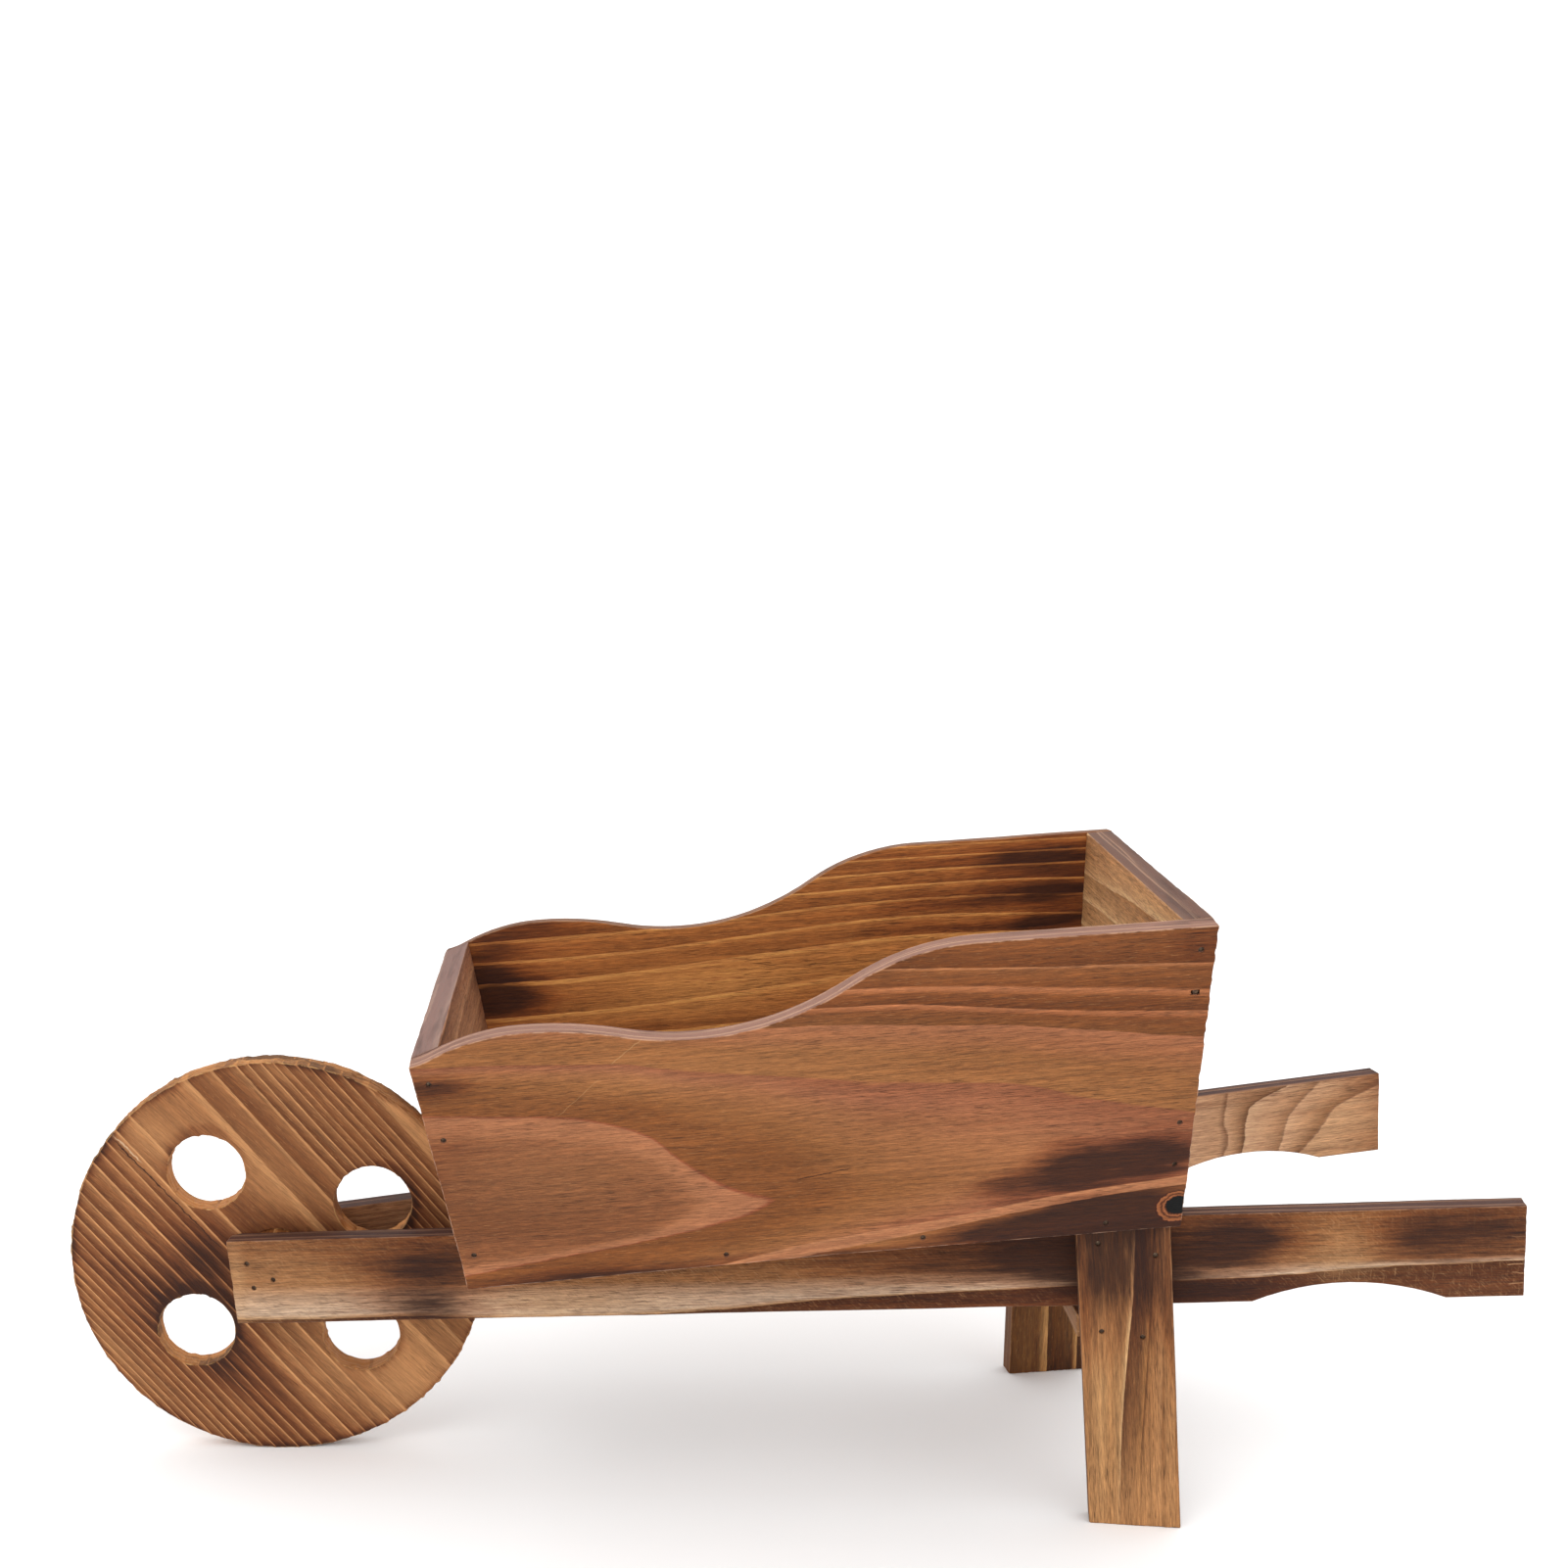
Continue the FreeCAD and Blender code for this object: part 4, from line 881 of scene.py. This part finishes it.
LEG_EDGE = dict(edge=(128, 86, 60), edge_light=(186, 138, 98), edge_lines=0.2)
board("leg_left", "cart", (-0.15, -0.99, 0), (-0.0993, 0, 0.995), (1, 0, 0),
      (2.5, 0.7, 2.0), [(lambda u, v, w: np.clip(family(LEG_LINES, u, v) - 4, 0.02, 4.98),
        leg_burn,
        [(107, 3.8, 6, 1.1, 1.0), (70, 0.3, 60, 0.6, 0.6), (4, 16, 24, 24, 0.75),
         (60, 27.6, 60, 0.5, 0.45), (50, 29.4, 60, 0.35, 0.4)],
        wood("wood_leg_left", 8, tones=LEG_TONES, tone_span=5.0, waver=0.04, fray=0.015, cloud=0.22,
             **LEG_EDGE)),
       (ripple(1 / 7.0, 1.5, 31), burn_marks(0.15, seed=17), [],
        wood("wood_leg_left_in", 21, **LEG_EDGE))],
      seed=38)
board("leg_right", "cart", (-0.15, 0.99, 0), UP, (1, 0, 0), (2.5, 0.7, 2.0),
      [(ripple(1 / 6.0, 1.5, 32), burn_marks(0.05, [(100, 16, 20, 16, 0.6)], seed=18), [],
        wood("wood_leg_right", 9, **LEG_EDGE)),
       (lambda u, v, w: np.interp(v + noise(u / 40.0, 0.0, 0.0, 33), (-9.0, 15.4, 27.6, 42.0),
                                  (6.0, 5.0, 4.0, 3.0)),
        burn_marks(0.10, [(100, 16, 20, 16, 0.6), (10, 26, 20, 6, 0.25)], seed=19), [],
        wood("wood_leg_right_in", 22, base=(124, 82, 50), dark=(82, 52, 34), light=(214, 160, 102),
             contrast=(0.7, 1.0),
             profile=((0.0, 1.0), (0.07, 0.7), (0.16, 0.1), (0.6, 0.0), (0.985, 0.0), (1.0, 0.5)),
             **LEG_EDGE))],
      seed=39)
board("leg_crossbar", "cart", UP, (0, 1, 0), (1, 0, 0), (3.0, 0.9, 2.2),
      [(ripple(1 / 8.0, 1.5, 34), burn_marks(0.10, seed=20), [],
        wood("wood_crossbar", 10, edge=(176, 126, 86), edge_light=(208, 158, 112),
             edge_lines=0.2))], seed=40)

# wheel: stripes close together at the rim, wide in the middle
STRIPES = [3, 6, 8.5, 11, 13.5, 16.5, 19, 22, 25, 28.5, 31.5, 35, 38.5, 42.5, 47.5, 54, 58.5, 63,
           68.5, 76, 101, 110, 118, 121.5, 125.5, 129, 131.5, 135, 138, 141.5, 145, 149]


def wheel_ring(u, v, w):
    at = v + 0.085 * (u - 20) + noise(u / 60.0, v / 40.0, 0.0, 41) * 1.2
    return np.interp(at, STRIPES, np.arange(len(STRIPES), 0, -1) + 4.0)


# in mm: the middles of the wheel's holes, their radius, and how far round them the wood is marked
HOLES = [(32, 85), (71, 37), (85, 118), (117, 76)]
HOLE_RADIUS = 14
HOLE_REACH = 17.0
WHEEL_RADIUS = 75.0


def rim_soot(u, v, w, size):
    """Soot towards the wheel's rim and on the arrises of its holes."""
    from_middle = np.hypot(u - WHEEL_RADIUS, v - WHEEL_RADIUS)
    close = smooth(71.5, WHEEL_RADIUS, from_middle)
    arris = np.exp(np.maximum(w, -size[2] - w) / 0.9)
    for a, b in HOLES:
        away = np.hypot(u - a, v - b)
        close = np.maximum(close, (1 - smooth(13.5, HOLE_REACH, away)) * arris)
    return 0.5 * close + 0.1 * smooth(73.5, WHEEL_RADIUS, from_middle)


def wheel_burn(u, v, w, size):
    spots = [(71, 30, 24, 16, 0.55), (52, 58, 18, 10, 0.55), (71, 37, 18, 17, 0.30),
             (95, 42, 30, 12, 0.25), (100, 118, 16, 22, 0.65),
             (75, 88, 14, 10, 0.60), (66, 66, 20, 14, 0.35), (60, 26, 80, 30, 0.12),
             (126, 26, 22, 14, 0.28), (30, 20, 30, 12, 0.15)]
    marks = burn_marks(0.04, spots, ends=0.0, rims=0.0, seed=42, patch=0.26)(u, v, w, size)
    return marks + rim_soot(u, v, w, size)


def wheel_back_burn(u, v, w, size):
    marks = burn_marks(0.12, seed=43, ends=0.0, rims=0.0, patch=0.4)(u, v, w, size)
    return marks + rim_soot(u, v, w, size)


def wheel_rough(u, v, w, size, facing, ending):
    """Sawn rim and hole walls: torn into small bites and ridges."""
    wall = 1 - smooth(0.3, 0.8, facing)
    turn = np.arctan2(v - WHEEL_RADIUS, u - WHEEL_RADIUS) * WHEEL_RADIUS
    bites = noise(turn / 2.2, w / 5.0, 0.0, 44) * 0.35 + noise(turn / 0.9, w / 1.2, 0.0, 45) * 0.2
    for a, b in HOLES:
        near = np.hypot(u - a, v - b) < HOLE_REACH
        around = np.arctan2(v - b, u - a) * HOLE_RADIUS
        bites = np.where(near, noise(around / 1.6, w / 4.0, a, 46) * 0.55 - 0.2, bites)
    return wall * bites


WHEEL_WOOD = dict(base=(152, 97, 62), dark=(102, 62, 42), light=(226, 166, 112),
                  contrast=(0.6, 1.0), waver=0.03,
                  fray=0.012, dusky=0.8, fibre=0.62, edge=(208, 140, 82),
                  edge_light=(236, 184, 124), edge_lines=0.45)
WHEEL_LINE = ((0.0, 1.0), (0.08, 0.9), (0.14, 0.32), (0.45, 0.12), (0.8, 0.0), (0.985, 0.0),
              (1.0, 0.6))
board("wheel", "wheel", (0, -1, 0), (0.7071, 0, -0.7071), (0.7071, 0, 0.7071),
      (2.4, 0.8, 1.6),
      [(wheel_ring, wheel_burn,
        [(11, 76, 11, 9, 0.45), (143, 72, 12, 14, 0.35), (134, 80, 20, 22, 0.42),
         (50, 96, 26, 9, 0.30), (12, 88, 14, 12, 0.2), (112, 52, 18, 12, 0.35),
         (26, 130, 20, 8, 0.2), (40, 6, 40, 4, 0.3)],
        wood("wood_wheel", 11, profile=WHEEL_LINE, cloud=0.4, **WHEEL_WOOD,
             marks=[(-2, 68.2, 62, 63.5, 0.4, CHAR, 1.0),
                    (-2, 69.2, 16, 68.4, 0.5, (232, 198, 160), 0.85)])),
       (lambda u, v, w: wheel_ring(u, 2 * WHEEL_RADIUS - v, w), wheel_back_burn, [],
        wood("wood_wheel_back", 23, profile=WHEEL_LINE, **WHEEL_WOOD))],
      rough_end=0.0, extra=wheel_rough, seed=47)
board("axle", "cart", (0, 0, 1), (0, 1, 0), (1, 0, 0), (1.2, 1.2, 1.2),
      [(ripple(1 / 4.0, 1.0, 48), burn_marks(0.0, seed=49), [],
        wood("wood_axle", 12, edge=(150, 104, 66), edge_light=(196, 148, 100)))], bevel=0, seed=50)

nail_steel = steel("nail_steel")
for name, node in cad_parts.items():
    if name.startswith("nails_"):
        node.data.materials.clear()
        node.data.materials.append(nail_steel)


# ---------------------------------------------------------------- floor, light, camera
def studio_floor():
    """A plain pale floor that runs out of sight."""
    bm = bmesh.new()
    reach = 60.0
    corners = ((-1, -1), (1, -1), (1, 1), (-1, 1))
    bm.faces.new([bm.verts.new((x * reach, y * reach, 0.0)) for x, y in corners])
    piece = mesh_object("studio_floor", bm)
    piece.data.shade_smooth()
    g = Graph("studio_floor")
    shader = g.node("ShaderNodeBsdfPrincipled")
    shader.inputs["Base Color"].default_value = grey(0.97)
    shader.inputs["Roughness"].default_value = 0.9
    shader.inputs["Specular IOR Level"].default_value = 0.1
    piece.data.materials.append(g.finished(shader))


studio_floor()

world = bpy.data.worlds.new("studio")
bpy.context.scene.world = world
world.use_nodes = True
world.node_tree.nodes["Background"].inputs[0].default_value = (1.0, 1.0, 1.0, 1.0)
world.node_tree.nodes["Background"].inputs[1].default_value = 1.25


def soft_light(name, place, aim, size, power):
    lamp = bpy.data.lights.new(name, "AREA")
    lamp.shape = "SQUARE"
    lamp.size = size
    lamp.energy = power
    holder = new_object(name, lamp)
    holder.location = place
    holder.rotation_mode = "QUATERNION"
    holder.rotation_quaternion = (Vector(place) - Vector(aim)).to_track_quat("Z", "Y")


soft_light("key", (-0.7, -1.3, 1.5), (0.0, 0.0, 0.1), 1.0, 7.0)
soft_light("fill", (1.1, -1.4, 0.8), (0.0, 0.0, 0.1), 1.4, 2.5)
soft_light("top", (0.1, 0.5, 1.9), (0.0, 0.0, 0.1), 1.6, 4.0)

# the camera fitted to the photo, in its pixels
SENSOR = 36.0
FRAME_SIDE = 1601.0
FOCAL = 2288.66
CENTRE = (666.21, 1116.99)
lens = bpy.data.cameras.new("view")
lens.sensor_width = SENSOR
lens.lens = FOCAL * SENSOR / FRAME_SIDE
lens.shift_x = (FRAME_SIDE / 2 - CENTRE[0]) / FRAME_SIDE
lens.shift_y = (CENTRE[1] - FRAME_SIDE / 2) / FRAME_SIDE
lens.clip_start = 0.01
lens.clip_end = 50.0
camera = new_object("view", lens)
camera.location = (-0.049295, -0.771393, 0.371243)
camera.rotation_mode = "QUATERNION"
camera.rotation_quaternion = Quaternion((0.8034796, 0.5952977, -0.0039815, -0.0050415))
bpy.context.scene.camera = camera
bpy.context.scene.view_settings.view_transform = "Standard"
bpy.context.scene.view_settings.look = "None"
